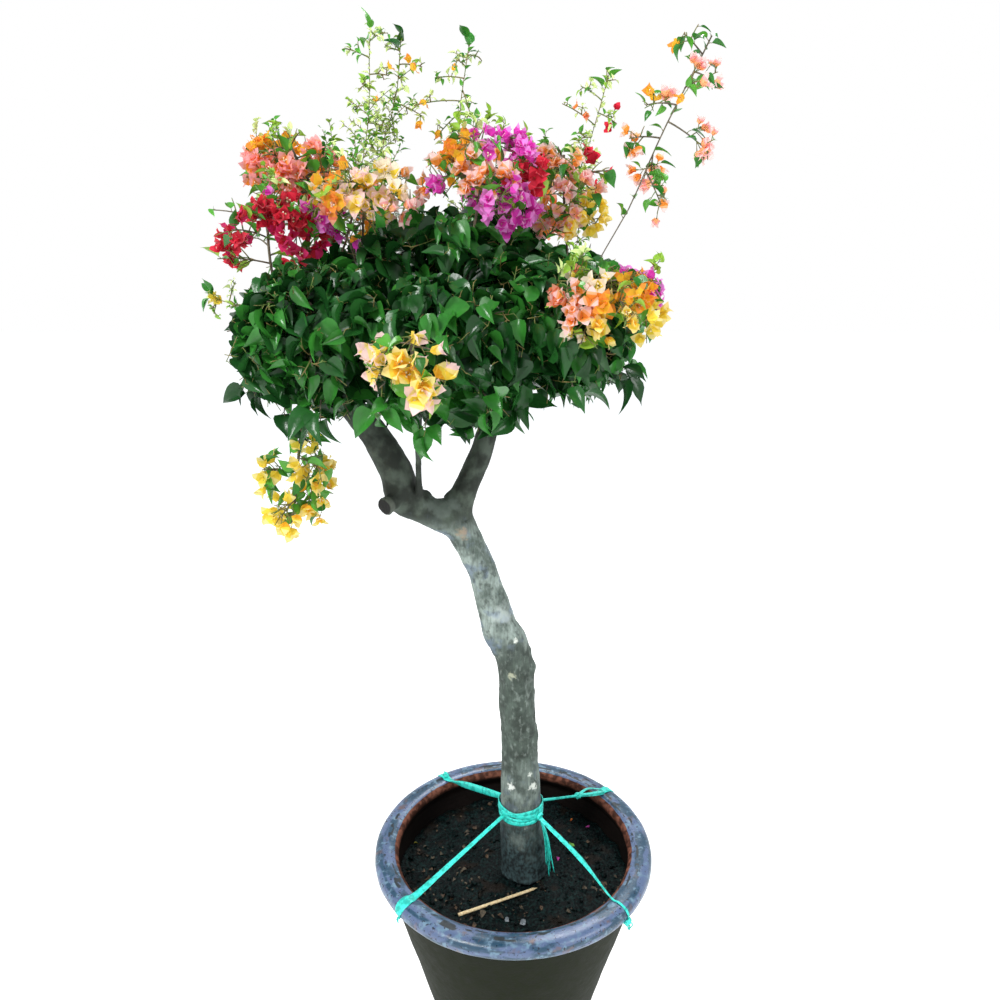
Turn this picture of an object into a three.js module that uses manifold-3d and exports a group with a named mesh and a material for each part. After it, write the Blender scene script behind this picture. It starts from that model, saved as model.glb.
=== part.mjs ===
import * as THREE from 'three';
import { mergeVertices } from 'three/addons/utils/BufferGeometryUtils.js';
import Module from 'manifold-3d';

const wasm = await Module();
wasm.setup();

// A bougainvillea grown as a small standard tree, in its glazed pot.
// Millimetres, +Z up, origin at the centre of the pot's flat underside,
// -Y towards the side that is seen as the front.

// Driving dimensions
const SEAT = 0.3;
const POT = { foot: 140, chamfer: 5, shoulder: 250, neck: 414, wall: 14, floor: 18, sides: 40 };
const ROLL = { radius: 247, level: 434, width: 23, rise: 16, from: -70, to: 245, step: 45 };
const SOIL = { top: 380, hollow: 5, flat: 75 };
const FLARE = { lobes: 5, depth: 0.05, height: 60 };
const COLLAR = { low: 513, high: 555, thickness: 5, wraps: 3, wrap: 0.6, room: 0.7 };
const GUY = { radius: 3.2, slack: 1.2, hold: 534, over: [115, 90, 65, 40, 15, -10, -30] };
const KNOT = { radius: 9, squeeze: 0.8, stretch: 1.1, angle: -25, off: 8.3, drop: 4 };
const GUY_TURNS = { far_left: 124, near_left: 220, far_right: 38, near_right: 318 };
const STICK = { from: [-104, -120], to: [38, -66], radius: 3.5 };
const LEAF = { length: 104, width: 72, thickness: 1.6, fold: 9, widest: 0.36 };
const YOUNG_LEAF = { length: 58, width: 34, thickness: 1.4, fold: 6, widest: 0.36 };
const SPRIG_LEAF = { length: 38, width: 26, thickness: 1.2, fold: 4, widest: 0.36 };
const BRACT = { length: 58, width: 46, thickness: 1.6, fold: 8, widest: 0.5 };
const BRACTS = 3;
const BRACT_LEAN = THREE.MathUtils.degToRad(38);
const STEM = { tip: 2.4, sides: 4, steps: 5 };
const TWIG = { root: 1.6, tip: 1.2, sides: 3 };
const UP = new THREE.Vector3(0, 0, 1);

// Growth: the room that is kept between masses, round limbs and between twigs and blades, and the
// ways that a limb, a twig and a leaf take
const ROOM = 1.5;
const CLEAR = 5;
const SHY = 6;
const ELBOW_ROOM = 9;
const SLIM = 0.82;
const TAPER = 0.85;
const REACH = { leave: 0.3, arrive: 0.35, lift: 0.6 };
const TWIG_ZONE = { end: 0.97, low: -0.9, high: 0.92 };
const LEAF_ZONE = 0.25;
const LEAF_WAY = { out: 0.5, down: 0.8, swing: 1.2, along: 0.3, turnAway: 0.8, faceUp: 0.7, faceSwing: 0.5 };
const FLOWER_LIFT = 0.6;
const ATTEMPTS = 4;
const PULLS = [0.95, 0.86, 0.77, 0.68, 0.59, 0.5, 0.4];
const TURN = Math.PI * (3 - Math.sqrt(5));
const CROWN_HEART = new THREE.Vector3(-114, 0, 1400);

const LOOK = {
  glaze: { color: 0x6e6a80, roughness: 0.3 },
  soil: { color: 0x2a241f, roughness: 0.95 },
  bark: { color: 0x7d857b, roughness: 0.9 },
  twine: { color: 0x35ddbf, roughness: 0.5 },
  cane: { color: 0xe8d3a8, roughness: 0.8 },
  leaves: { color: 0x2f7a2f, roughness: 0.5 },
  young: { color: 0x8db53a, roughness: 0.6 },
  crimson: { color: 0xc4122f, roughness: 0.7 },
  magenta: { color: 0xd63cc8, roughness: 0.7 },
  pink: { color: 0xf39a8e, roughness: 0.7 },
  peach: { color: 0xf5b98a, roughness: 0.7 },
  gold: { color: 0xf3c02e, roughness: 0.7 },
};

// The wooden limbs: points on the centre line, and the diameter at each point.
const TRUNK_LINE = [
  [21, 0, SOIL.top + SEAT, 92], [21, 0, 398, 86.5], [14.7, 0, 507, 81.7], [12.8, 0, 587, 75.5],
  [10.6, 0, 662, 68], [5.4, 0, 761, 66.7], [0.9, 0, 844, 66], [-11.6, 0, 884, 68],
  [-24.3, 0, 908, 66], [-44.2, 0, 972, 56], [-57, 0, 1021, 50], [-75.5, 0, 1063, 51],
  [-98.7, 0, 1111, 56],
];
const LEFT_LINE = [
  [-96, 0, 1104, 50], [-126, -4, 1122, 54], [-155, -8, 1136, 52], [-190, -15, 1162, 58],
  [-199, -18, 1200, 57], [-216, -22, 1242, 52], [-238, -26, 1282, 46], [-266, -30, 1316, 41],
  [-298, -34, 1357, 39],
];
const RIGHT_LINE = [
  [-97, 2, 1106, 44], [-95, 5, 1142, 46], [-77, 12, 1186, 42.6], [-60, 20, 1225, 39],
  [-50, 28, 1256, 36], [-39, 36, 1291, 34],
];
const SHOOT_LINE = [
  [-161, -22, 1150, 11.6], [-161, -34, 1180, 11.4], [-158, -62, 1240, 10.8],
  [-155, -84, 1282, 11], [-150, -100, 1330, 9],
];
const STUB_LINE = [[-190, -22, 1165, 30], [-217, -58, 1157, 26]];

// The boughs inside the crown: the limb that each grows on from, and where it ends.
const BOUGHS = {
  bough_left_front: { on: 'bough_left', end: [-350, -80, 1445] },
  bough_left_top: { on: 'bough_left', end: [-250, -10, 1520] },
  bough_left_back: { on: 'bough_left', end: [-320, 90, 1435] },
  bough_right_front: { on: 'bough_right', end: [-80, -85, 1415] },
  bough_right_outer: { on: 'bough_right', end: [60, -60, 1420] },
  bough_right_rear: { on: 'bough_right', end: [70, 95, 1440] },
  bough_right_inner: { on: 'bough_right', end: [-80, 120, 1440] },
};

// What a mass is made of: side twigs on its stem, leaves on a twig, flowers on a twig.
const LEAFY = { twigs: 13, leaves: 6, flowers: 0, leaf: LEAF, rise: 0.35 };
const MIXED = { twigs: 9, leaves: 1, flowers: 1, leaf: YOUNG_LEAF, rise: 0.7 };
const SMALL = { twigs: 6, leaves: 1, flowers: 1, leaf: YOUNG_LEAF, rise: 0.7 };
const SHOOT = { twigs: 6, leaves: 2, flowers: 0, leaf: SPRIG_LEAF, rise: 0.9 };
const BLOOMING = { twigs: 7, leaves: 1, flowers: 1, leaf: SPRIG_LEAF, rise: 0.9 };
const SPRIG = { twigs: 4, leaves: 2, flowers: 0, leaf: SPRIG_LEAF, rise: 0.9 };

// Each mass fills a spheroid: its centre, its axis, its half length along the axis and its girth.
const MASSES = {
  foliage_left_front: ['bough_left_front', [-283, -140, 1437], UP, 120, 142, LEAFY, 'leaves'],
  foliage_left_back: ['bough_left_back', [-290, 145, 1440], UP, 142, 155, LEAFY, 'leaves'],
  foliage_centre_front: ['bough_right_front', [-105, -165, 1420], UP, 125, 128, LEAFY, 'leaves'],
  foliage_centre_back: ['bough_right_inner', [-105, 180, 1430], UP, 135, 140, LEAFY, 'leaves'],
  foliage_right_front: ['bough_right_outer', [62, -112, 1450], UP, 114, 124, LEAFY, 'leaves'],
  foliage_right_back: ['bough_right_rear', [85, 141, 1440], UP, 138, 150, LEAFY, 'leaves'],
  foliage_top: ['bough_right_inner', [-112, 0, 1532], UP, 98, 205, LEAFY, 'leaves'],
  blossom_crimson: ['bough_left_front', [-373, -70, 1594], UP, 68, 95, MIXED, 'crimson'],
  blossom_pink: ['bough_left_top', [-353, 30, 1688], UP, 56, 76, MIXED, 'pink'],
  blossom_gold: ['bough_left_top', [-220, -95, 1630], UP, 62, 88, MIXED, 'gold'],
  blossom_magenta: ['bough_right_front', [-47, -80, 1660], UP, 82, 95, MIXED, 'magenta'],
  blossom_peach: ['bough_right_rear', [70, -10, 1646], UP, 78, 80, MIXED, 'peach'],
  blossom_side: ['bough_right_outer', [119, -205, 1488], UP, 68, 86, MIXED, 'gold'],
  blossom_front: ['shoot_upright', [-140, -300, 1425], UP, 58, 72, SMALL, 'gold'],
  blossom_back_left: ['bough_left_back', [-270, 190, 1625], UP, 70, 115, MIXED, 'crimson'],
  blossom_back_right: ['bough_right_inner', [16, 190, 1637], UP, 75, 120, MIXED, 'magenta'],
  spray_hanging: ['bough_left', [-342, -120, 1213], [-0.2, -0.1, -1], 92, 62, SMALL, 'gold'],
  sprig_left: ['bough_left_front', [-430, -60, 1490], [-1, 0, 0.2], 44, 38, SPRIG, 'young'],
  shoot_top_left: ['bough_left_top', [-222, 0, 1805], [0.11, 0, 1], 82, 44, SHOOT, 'young'],
  shoot_top_mid: ['bough_left_top', [-170, 55, 1790], [-0.08, 0, 1], 92, 44, SHOOT, 'young'],
  shoot_top_centre: ['bough_right_inner', [-108, 30, 1790], [0.5, 0, 1], 92, 50, SHOOT, 'young'],
  shoot_right: ['bough_right_rear', [108, 60, 1765], [0.6, 0, 1], 75, 52, SHOOT, 'young'],
  shoot_right_tall: ['bough_right_outer', [221, -30, 1725], [0.42, 0, 1], 160, 70, BLOOMING, 'peach'],
};

const vec = (p) => new THREE.Vector3(p[0], p[1], p[2]);
const share = (x) => x - Math.floor(x);

// The strides of the draws, one for each use: irrational shares, so that no run of draws repeats
const SEED_STRIDE = 0.6180339887;
const STRIDES = [0.7548776662, 0.569840291, 0.4142135624, 0.7320508076, 0.236067977];
const DRAW = { x: 0, y: 1, z: 2, flower: 3, twig: 4 };

/** A number from 0 to 1: draw k of a seed, for one use. */
const dice = (seed, k, use) => share(seed * SEED_STRIDE + (k + 1) * STRIDES[use]);

/** The geometry as a solid: shared vertices merged, only positions kept. */
function solid(geometry) {
  const bare = geometry.clone();
  bare.deleteAttribute('normal');
  bare.deleteAttribute('uv');
  const merged = mergeVertices(bare, 1e-4);
  return new wasm.Manifold(new wasm.Mesh({
    numProp: 3,
    vertProperties: Float32Array.from(merged.attributes.position.array),
    triVerts: Uint32Array.from(merged.index.array),
  }));
}

/** The solid as a geometry again. */
function geometryOf(body) {
  const mesh = body.getMesh();
  const geometry = new THREE.BufferGeometry();
  geometry.setAttribute('position', new THREE.BufferAttribute(mesh.vertProperties, 3));
  geometry.setIndex(new THREE.BufferAttribute(mesh.triVerts, 1));
  geometry.computeVertexNormals();
  return geometry;
}

/** All the solids joined in pairs, and of the result the one largest body with its hollows filled. */
function fuse(bodies) {
  let row = bodies;
  while (row.length > 1) {
    const next = [];
    for (let i = 0; i < row.length; i += 2) {
      next.push(i + 1 < row.length ? row[i].add(row[i + 1]) : row[i]);
    }
    row = next;
  }
  return largest(row[0]);
}

/** The body of greatest volume among the separate ones. */
function largest(body) {
  return body.decompose().reduce((best, one) => (one.volume() > best.volume() ? one : best));
}

const FINE = 400;

/** A closed tube on a curve: a unit rod bent onto it, as thick at each step as thicknessAt says. */
function tube(curve, thicknessAt, sides, steps) {
  const rod = new THREE.CylinderGeometry(1, 1, 1, sides, steps);
  const frames = curve.computeFrenetFrames(steps, false);
  const at = rod.attributes.position;
  const centres = Array.from({ length: steps + 1 }, (_, i) => curve.getPointAt(i / steps));
  for (let i = 0; i < at.count; i += 1) {
    const step = Math.round((at.getY(i) + 0.5) * steps);
    const radius = thicknessAt(step / steps, Math.atan2(at.getZ(i), at.getX(i)));
    const place = centres[step].clone();
    place.addScaledVector(frames.normals[step], at.getX(i) * radius);
    place.addScaledVector(frames.binormals[step], -at.getZ(i) * radius);
    at.setXYZ(i, place.x, place.y, place.z);
  }
  return rod;
}

/** A limb from its line of points and diameters: its curve, and its radius at a share of its length. */
function limb(line, sides, steps, grow = 0) {
  const points = line.map(vec);
  const last = points.length - 1;
  const onward = points[last].clone().sub(points[last - 1]).normalize();
  points[last].addScaledVector(onward, grow);
  const curve = new THREE.CatmullRomCurve3(points, false, 'centripetal');
  const lengths = curve.getLengths(FINE);
  const stops = points.map((_, i) => lengths[Math.round((i / last) * FINE)] / lengths[FINE]);
  const radiusAt = (u) => {
    let i = 1;
    while (i < last && stops[i] < u) i += 1;
    const part = THREE.MathUtils.clamp((u - stops[i - 1]) / (stops[i] - stops[i - 1]), 0, 1);
    return THREE.MathUtils.lerp(line[i - 1][3], line[i][3], part) / 2 + grow;
  };
  return { curve, radiusAt, sides, steps, tip: radiusAt(1) };
}

/** The solid of a limb. */
const limbSolid = (one) => solid(tube(one.curve, one.radiusAt, one.sides, one.steps));

const root = new THREE.Group();
const keepOff = [];

/** Adds a named mesh of one look to the plant. */
function place(name, geometry, look) {
  const finish = LOOK[look];
  const material = new THREE.MeshStandardMaterial({ ...finish, metalness: 0 });
  const mesh = new THREE.Mesh(geometry, material);
  mesh.name = name;
  root.add(mesh);
}

/** Notes the space that a limb takes, so that twigs and leaves of other nodes keep off it. */
function reserve(owner, curve, radiusAt) {
  const count = Math.ceil(curve.getLength() / CLEAR);
  for (let i = 0; i <= count; i += 1) {
    keepOff.push({ owner, at: curve.getPointAt(i / count), radius: radiusAt(i / count) + SHY });
  }
}

// Pot: a cone with a flat underside and a rolled rim, turned round the Z axis
function potProfile() {
  const outline = [[0, 0], [POT.foot - POT.chamfer, 0], [POT.foot, POT.chamfer], [POT.shoulder, POT.neck]];
  for (let degrees = ROLL.from; degrees <= ROLL.to; degrees += ROLL.step) {
    const turn = THREE.MathUtils.degToRad(degrees);
    const across = ROLL.width * Math.cos(turn);
    outline.push([ROLL.radius + across, ROLL.level + ROLL.rise * Math.sin(turn)]);
  }
  const inside = POT.neck - POT.chamfer;
  outline.push([innerRadius(inside), inside], [innerRadius(POT.floor), POT.floor], [0, POT.floor]);
  return outline.map(([r, z]) => new THREE.Vector2(r, z));
}

/** The radius of the pot's inner wall at a height. */
function innerRadius(z) {
  return THREE.MathUtils.mapLinear(z, 0, POT.neck, POT.foot, POT.shoulder) - POT.wall;
}

/** A turned body from its profile, upright. */
function turned(profile, sides) {
  const geometry = new THREE.LatheGeometry(profile, sides);
  geometry.rotateX(Math.PI / 2);
  return geometry;
}

place('pot', geometryOf(solid(turned(potProfile(), POT.sides))), 'glaze');

// Soil: fills the pot to 70 mm under its rim, a little lower in a ring round the trunk
function soilProfile() {
  const low = POT.floor + SEAT;
  const gap = 2 * SEAT;
  const edge = innerRadius(SOIL.top) - gap;
  return [
    [0, low], [innerRadius(low) - gap, low], [edge, SOIL.top],
    [(edge + SOIL.flat) / 2, SOIL.top - SOIL.hollow], [SOIL.flat, SOIL.top], [0, SOIL.top],
  ].map(([r, z]) => new THREE.Vector2(r, z));
}

place('soil', geometryOf(solid(turned(soilProfile(), POT.sides))), 'soil');

// Trunk, the two boughs of its fork and the thin upright shoot
const TRUNK_GRID = [12, 22];
const LEFT_GRID = [12, 13];
const trunk = limb(TRUNK_LINE, ...TRUNK_GRID);
const trunkLength = trunk.curve.getLength();
const plainTrunk = trunk.radiusAt;
trunk.radiusAt = (u, turn = 0) => {
  const flare = Math.max(0, 1 - (u * trunkLength) / FLARE.height);
  return plainTrunk(u) * (1 + FLARE.depth * flare * Math.cos(FLARE.lobes * turn));
};
const trunkRoom = limbSolid(limb(TRUNK_LINE, ...TRUNK_GRID, SEAT));
place('trunk', geometryOf(limbSolid(trunk)), 'bark');

const left = limb(LEFT_LINE, ...LEFT_GRID);
const stub = limb(STUB_LINE, 10, 2);
const leftRoom = limbSolid(limb(LEFT_LINE, ...LEFT_GRID, SEAT));
const leftBody = fuse([limbSolid(left), limbSolid(stub)]).subtract(trunkRoom);
place('bough_left', geometryOf(largest(leftBody)), 'bark');

const right = limb(RIGHT_LINE, 12, 9);
const rightBody = limbSolid(right).subtract(trunkRoom).subtract(leftRoom);
place('bough_right', geometryOf(largest(rightBody)), 'bark');

const upright = limb(SHOOT_LINE, 6, 7);
place('shoot_upright', geometryOf(largest(limbSolid(upright).subtract(leftRoom))), 'bark');

const limbs = { trunk, bough_left: left, bough_right: right, shoot_upright: upright };
for (const [name, one] of Object.entries(limbs)) reserve(name, one.curve, one.radiusAt);

/** Where the limbs that grow on from a tip start: side by side in a ring on its end, in the order
 *  of the way they go, each as thick as the ring has room for. */
function whorl(parent, goals) {
  const tip = parent.curve.getPointAt(1);
  const onward = parent.curve.getTangentAt(1);
  const count = goals.length;
  const packed = Math.sin(Math.PI / count);
  const fit = count === 1 ? 1 : packed / (1 + packed);
  const radius = parent.tip * fit * SLIM;
  const ring = count === 1 ? 0 : parent.tip * (1 - fit);
  const across = new THREE.Vector3().crossVectors(onward, UP).normalize();
  const over = new THREE.Vector3().crossVectors(onward, across);
  const bearings = goals.map((goal, i) => {
    const way = goal.clone().sub(tip);
    return { i, turn: Math.atan2(way.dot(over), way.dot(across)) };
  }).sort((a, b) => a.turn - b.turn);
  const turnOf = (k) => (k * 2 * Math.PI) / count;
  const middle = bearings.reduce((sum, one, k) => sum + one.turn - turnOf(k), 0) / count;
  const starts = [];
  bearings.forEach(({ i }, k) => {
    const turn = middle + turnOf(k);
    const start = tip.clone().addScaledVector(onward, SEAT);
    start.addScaledVector(across, ring * Math.cos(turn)).addScaledVector(over, ring * Math.sin(turn));
    starts[i] = { start, onward, radius };
  });
  return starts;
}

/** A smooth line that leaves a tip along its way and ends at a goal, arriving along an axis. */
function reachFor({ start, onward }, goal, arrive) {
  const span = start.distanceTo(goal);
  const first = start.clone().addScaledVector(onward, span * REACH.leave);
  const second = goal.clone().addScaledVector(arrive, -span * REACH.arrive);
  return new THREE.CubicBezierCurve3(start, first, second, goal);
}

/** The names of what grows on from a limb. */
function growsOn(name) {
  const boughs = Object.entries(BOUGHS).filter(([, one]) => one.on === name).map(([key]) => key);
  const masses = Object.entries(MASSES).filter(([, one]) => one[0] === name).map(([key]) => key);
  return [...boughs, ...masses];
}

/** A mass's figures under their names, with the frame of its spheroid. */
function spaceOf(name) {
  const [on, centre, axis, half, girth, kind, look] = MASSES[name];
  const along = axis === UP ? UP.clone() : vec(axis).normalize();
  const side = new THREE.Vector3(1, 0, 0).addScaledVector(along, -along.x).normalize();
  const back = new THREE.Vector3().crossVectors(along, side);
  const weight = (girth + Math.min(half, girth)) / 2;
  return { name, on, centre: vec(centre), along, side, back, half, girth, weight, kind, look };
}

const SPACES = Object.keys(MASSES).map(spaceOf);

/** Whether a point lies in a mass's own space: in its spheroid, and on its side of the plane
 *  between it and each other mass, which stands where the spheres of their weights balance. */
function inSpace(space, point) {
  const off = point.clone().sub(space.centre);
  const along = off.dot(space.along) / space.half;
  const out = Math.hypot(off.dot(space.side), off.dot(space.back)) / space.girth;
  if (Math.hypot(along, out) > 1) return false;
  return SPACES.every((other) => {
    if (other === space) return true;
    const apart = other.centre.distanceTo(space.centre);
    const ours = off.lengthSq() - space.weight ** 2;
    const theirs = point.distanceToSquared(other.centre) - other.weight ** 2;
    return (theirs - ours) / (2 * apart) > ROOM;
  });
}

/** Whether a point is clear of every limb and stem but its own. */
function isClear(owner, point) {
  return keepOff.every((one) => one.owner === owner || one.at.distanceTo(point) > one.radius);
}

/** A place on a blade, from its root along its way: a share of its length on, a share of its half
 *  width out from the midrib that it is folded on, and a distance over its middle surface. */
function onBlade({ size, at, way, face }, along, across, over) {
  const side = new THREE.Vector3().crossVectors(way, face).normalize();
  const up = new THREE.Vector3().crossVectors(side, way).normalize();
  const spot = at.clone().addScaledVector(way, along * size.length);
  spot.addScaledVector(side, (across * size.width) / 2);
  return spot.addScaledVector(up, over - Math.abs(across) * size.fold);
}

/** A thin blade of eight faces. */
function blade(one) {
  const geometry = new THREE.OctahedronGeometry(1, 0);
  const corners = geometry.attributes.position;
  for (let i = 0; i < corners.count; i += 1) {
    const y = corners.getY(i);
    const along = Math.abs(y) > 0.5 ? (y + 1) / 2 : one.size.widest;
    const spot = onBlade(one, along, corners.getX(i), (corners.getZ(i) * one.size.thickness) / 2);
    corners.setXYZ(i, spot.x, spot.y, spot.z);
  }
  return geometry;
}

/** The net of points on a blade that its fit is tested on, from near its root to its tip. */
function netOf(one) {
  const { widest } = one.size;
  const net = [];
  for (let i = 1; i <= 9; i += 1) {
    const along = i / 9;
    const wide = along < widest ? along / widest : (1 - along) / (1 - widest);
    for (let j = -1; j <= 1; j += 0.5) net.push(onBlade(one, along, j * wide, 0));
  }
  return net;
}

/** Whether every point of a net keeps an elbow's room from the points of the other nets. */
function hasRoom(net, others) {
  const apart = (other) => net.every((spot) => other.every((one) => one.distanceTo(spot) > ELBOW_ROOM));
  return others.every(apart);
}

/** Whether a net stays in its mass's space and clear of the limbs of other nodes. */
function isFree(space, net) {
  return net.every((spot) => inSpace(space, spot) && isClear(space.name, spot));
}

/** Points along a curve from a share of its length on, a few millimetres apart. */
function pointsOn(curve, from) {
  const count = Math.ceil(curve.getLength() / ELBOW_ROOM);
  return Array.from({ length: count + 1 }, (_, i) => curve.getPointAt(from + ((1 - from) * i) / count));
}

/** A hanging leaf: it droops outwards from the heart of the crown, with its face turned out. */
function leafOn(space, size, at, twigWay, draw) {
  const out = at.clone().sub(CROWN_HEART).normalize();
  const swing = vec([DRAW.x, DRAW.y, DRAW.z].map((use) => dice(space.seed, draw, use) - 0.5));
  const way = out.clone().multiplyScalar(LEAF_WAY.out).addScaledVector(UP, -LEAF_WAY.down);
  way.addScaledVector(swing, LEAF_WAY.swing);
  way.addScaledVector(twigWay, LEAF_WAY.along - LEAF_WAY.turnAway * way.dot(twigWay)).normalize();
  const face = out.clone().addScaledVector(UP, LEAF_WAY.faceUp).addScaledVector(swing, LEAF_WAY.faceSwing);
  return { size, at, way, face: face.normalize() };
}

/** A flower: three papery bracts round the way that it faces, each leaning out from it. */
function flowerOn(space, at, way, draw) {
  const facing = way.clone().addScaledVector(UP, FLOWER_LIFT).normalize();
  const across = new THREE.Vector3().crossVectors(facing, UP).normalize();
  return Array.from({ length: BRACTS }, (_, j) => {
    const turn = (j / BRACTS + dice(space.seed, draw, DRAW.flower)) * 2 * Math.PI;
    const out = across.clone().applyAxisAngle(facing, turn);
    const lean = facing.clone().multiplyScalar(Math.cos(BRACT_LEAN));
    lean.addScaledVector(out, Math.sin(BRACT_LEAN));
    const face = facing.clone().multiplyScalar(Math.sin(BRACT_LEAN));
    face.addScaledVector(out, -Math.cos(BRACT_LEAN));
    return { size: BRACT, at, way: lean, face };
  });
}

/** The blades on a twig: its leaves, evenly along its outer part, and its end flower. Each takes the
 *  first of its draws that fits whole, or the draw of which most bracts fit. */
function dressed(space, line, k) {
  const { leaves, flowers, leaf } = space.kind;
  const nets = [];
  const kept = [];
  for (let i = 0; i < leaves + flowers; i += 1) {
    const isLeaf = i < leaves;
    const u = isLeaf ? THREE.MathUtils.lerp(LEAF_ZONE, 1, (i + 0.5) / leaves) : 0.98;
    const at = line.getPointAt(u);
    const way = line.getTangentAt(u);
    const taken = [...space.nets, ...nets];
    const fits = (one) => isFree(space, netOf(one)) && hasRoom(netOf(one), taken);
    let best = [];
    for (let attempt = 0; attempt < ATTEMPTS && best.length < (isLeaf ? 1 : BRACTS); attempt += 1) {
      const draw = (k * (leaves + flowers) + i) * ATTEMPTS + attempt;
      const blades = isLeaf ? [leafOn(space, leaf, at, way, draw)] : flowerOn(space, at, way, draw);
      const fit = blades.filter(fits);
      if (fit.length > best.length) best = fit;
    }
    best.forEach((one) => nets.push(netOf(one)));
    kept.push(...best);
  }
  return kept;
}

/** Side twig k of a mass, from its foot on the stem towards a goal on the spheroid: of the lengths
 *  that stay in the mass's own space, the one that carries the most blades. */
function twigOn(space, stem, entry, k) {
  const { twigs } = space.kind;
  const rank = (k + 0.5) / twigs;
  const foot = stem.getPointAt(THREE.MathUtils.lerp(entry, TWIG_ZONE.end, rank));
  const height = THREE.MathUtils.lerp(TWIG_ZONE.low, TWIG_ZONE.high, rank);
  const turn = TURN * k + dice(space.seed, 0, DRAW.twig) * 2 * Math.PI;
  const out = Math.sqrt(1 - height * height);
  const goal = space.centre.clone().addScaledVector(space.along, height * space.half);
  goal.addScaledVector(space.side, out * space.girth * Math.cos(turn));
  goal.addScaledVector(space.back, out * space.girth * Math.sin(turn));
  let best = { line: null, blades: [] };
  for (const pull of PULLS) {
    const end = foot.clone().lerp(goal, pull);
    const line = new THREE.LineCurve3(foot, end);
    const free = isFree(space, pointsOn(line, 0.06)) && hasRoom(pointsOn(line, 0.3), space.nets);
    const blades = free ? dressed(space, line, k) : [];
    if (blades.length > best.blades.length) best = { line, blades };
  }
  return best;
}

/** One mass as a solid: its stem, its side twigs, and the leaves and flowers on them. */
function growMass(space, stem, stemRadius) {
  const thickness = (u) => THREE.MathUtils.lerp(stemRadius, STEM.tip, u);
  const parts = [solid(tube(stem, thickness, STEM.sides, STEM.steps))];
  let entry = 0;
  while (entry < 0.95 && !isFree(space, [stem.getPointAt(entry)])) entry += 0.03;
  const twigRadius = (u) => THREE.MathUtils.lerp(TWIG.root, TWIG.tip, u);
  space.nets.push(pointsOn(stem, entry));
  for (let k = 0; k < space.kind.twigs; k += 1) {
    const { line, blades } = twigOn(space, stem, entry, k);
    if (!line) continue;
    parts.push(solid(tube(line, twigRadius, TWIG.sides, 1)));
    space.nets.push(pointsOn(line, 0.1));
    for (const one of blades) {
      parts.push(solid(blade(one)));
      space.nets.push(netOf(one));
    }
  }
  return fuse(parts);
}

/** Where a bough or a mass's stem ends, and the axis that it arrives along. */
function endOf(name) {
  if (BOUGHS[name]) return { goal: vec(BOUGHS[name].end), axis: UP };
  const { centre, along, half, kind } = SPACES.find((one) => one.name === name);
  return { goal: centre.clone().addScaledVector(along, half * kind.rise), axis: along };
}

// Boughs inside the crown and the stems of the masses, each in its place on its limb's tip
const stems = {};
for (const name of ['bough_left', 'bough_right', 'shoot_upright', ...Object.keys(BOUGHS)]) {
  const names = growsOn(name);
  const ends = names.map(endOf);
  whorl(limbs[name], ends.map(({ goal }) => goal)).forEach((seat, i) => {
    const { goal, axis } = ends[i];
    const isBough = names[i] in BOUGHS;
    const arrive = goal.clone().sub(seat.start).normalize().addScaledVector(axis, REACH.lift).normalize();
    const curve = reachFor(seat, goal, arrive);
    const tip = isBough ? seat.radius * TAPER : STEM.tip;
    const radiusAt = (u) => THREE.MathUtils.lerp(seat.radius, tip, u);
    reserve(names[i], curve, radiusAt);
    if (isBough) limbs[names[i]] = { curve, radiusAt, sides: 7, steps: 5, tip };
    else stems[names[i]] = { curve, radius: seat.radius };
  });
}
for (const name of Object.keys(BOUGHS)) place(name, geometryOf(limbSolid(limbs[name])), 'bark');

// Masses of foliage and blossom
SPACES.forEach((space, i) => {
  space.seed = i + 1;
  space.nets = [];
  const { curve, radius } = stems[space.name];
  place(space.name, geometryOf(growMass(space, curve, radius)), space.look);
});

/** The share of the trunk's length at which it reaches a height. */
function trunkShareAt(height) {
  let u = 0;
  while (trunk.curve.getPointAt(u).z < height) u += 1 / FINE;
  return u;
}

// Ties: a collar round the trunk and four guys from it over the rim, each ending in a knot
const [collarFrom, collarTo] = [COLLAR.low, COLLAR.high].map(trunkShareAt);
const collarEnds = [collarFrom, collarTo].map((u) => trunk.curve.getPointAt(u));
const collarCurve = new THREE.LineCurve3(...collarEnds);
const collarRadius = (u) => {
  const wraps = COLLAR.wrap * Math.cos(u * COLLAR.wraps * 2 * Math.PI);
  return trunk.radiusAt(THREE.MathUtils.lerp(collarFrom, collarTo, u)) + COLLAR.thickness + wraps;
};
const collar = solid(tube(collarCurve, collarRadius, 12, 4));
const collarRoom = solid(tube(collarCurve, (u) => collarRadius(u) + COLLAR.room, 12, 4));
place('tie_collar', geometryOf(collar.subtract(trunkRoom)), 'twine');

/** A point beside the rolled rim's section, at an angle on it and a distance off its surface. */
function besideRim(turn, degrees, off) {
  const angle = THREE.MathUtils.degToRad(degrees);
  const r = ROLL.radius + (ROLL.width + off) * Math.cos(angle);
  const z = ROLL.level + (ROLL.rise + off) * Math.sin(angle);
  return new THREE.Vector3(r * Math.cos(turn), r * Math.sin(turn), z);
}

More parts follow.
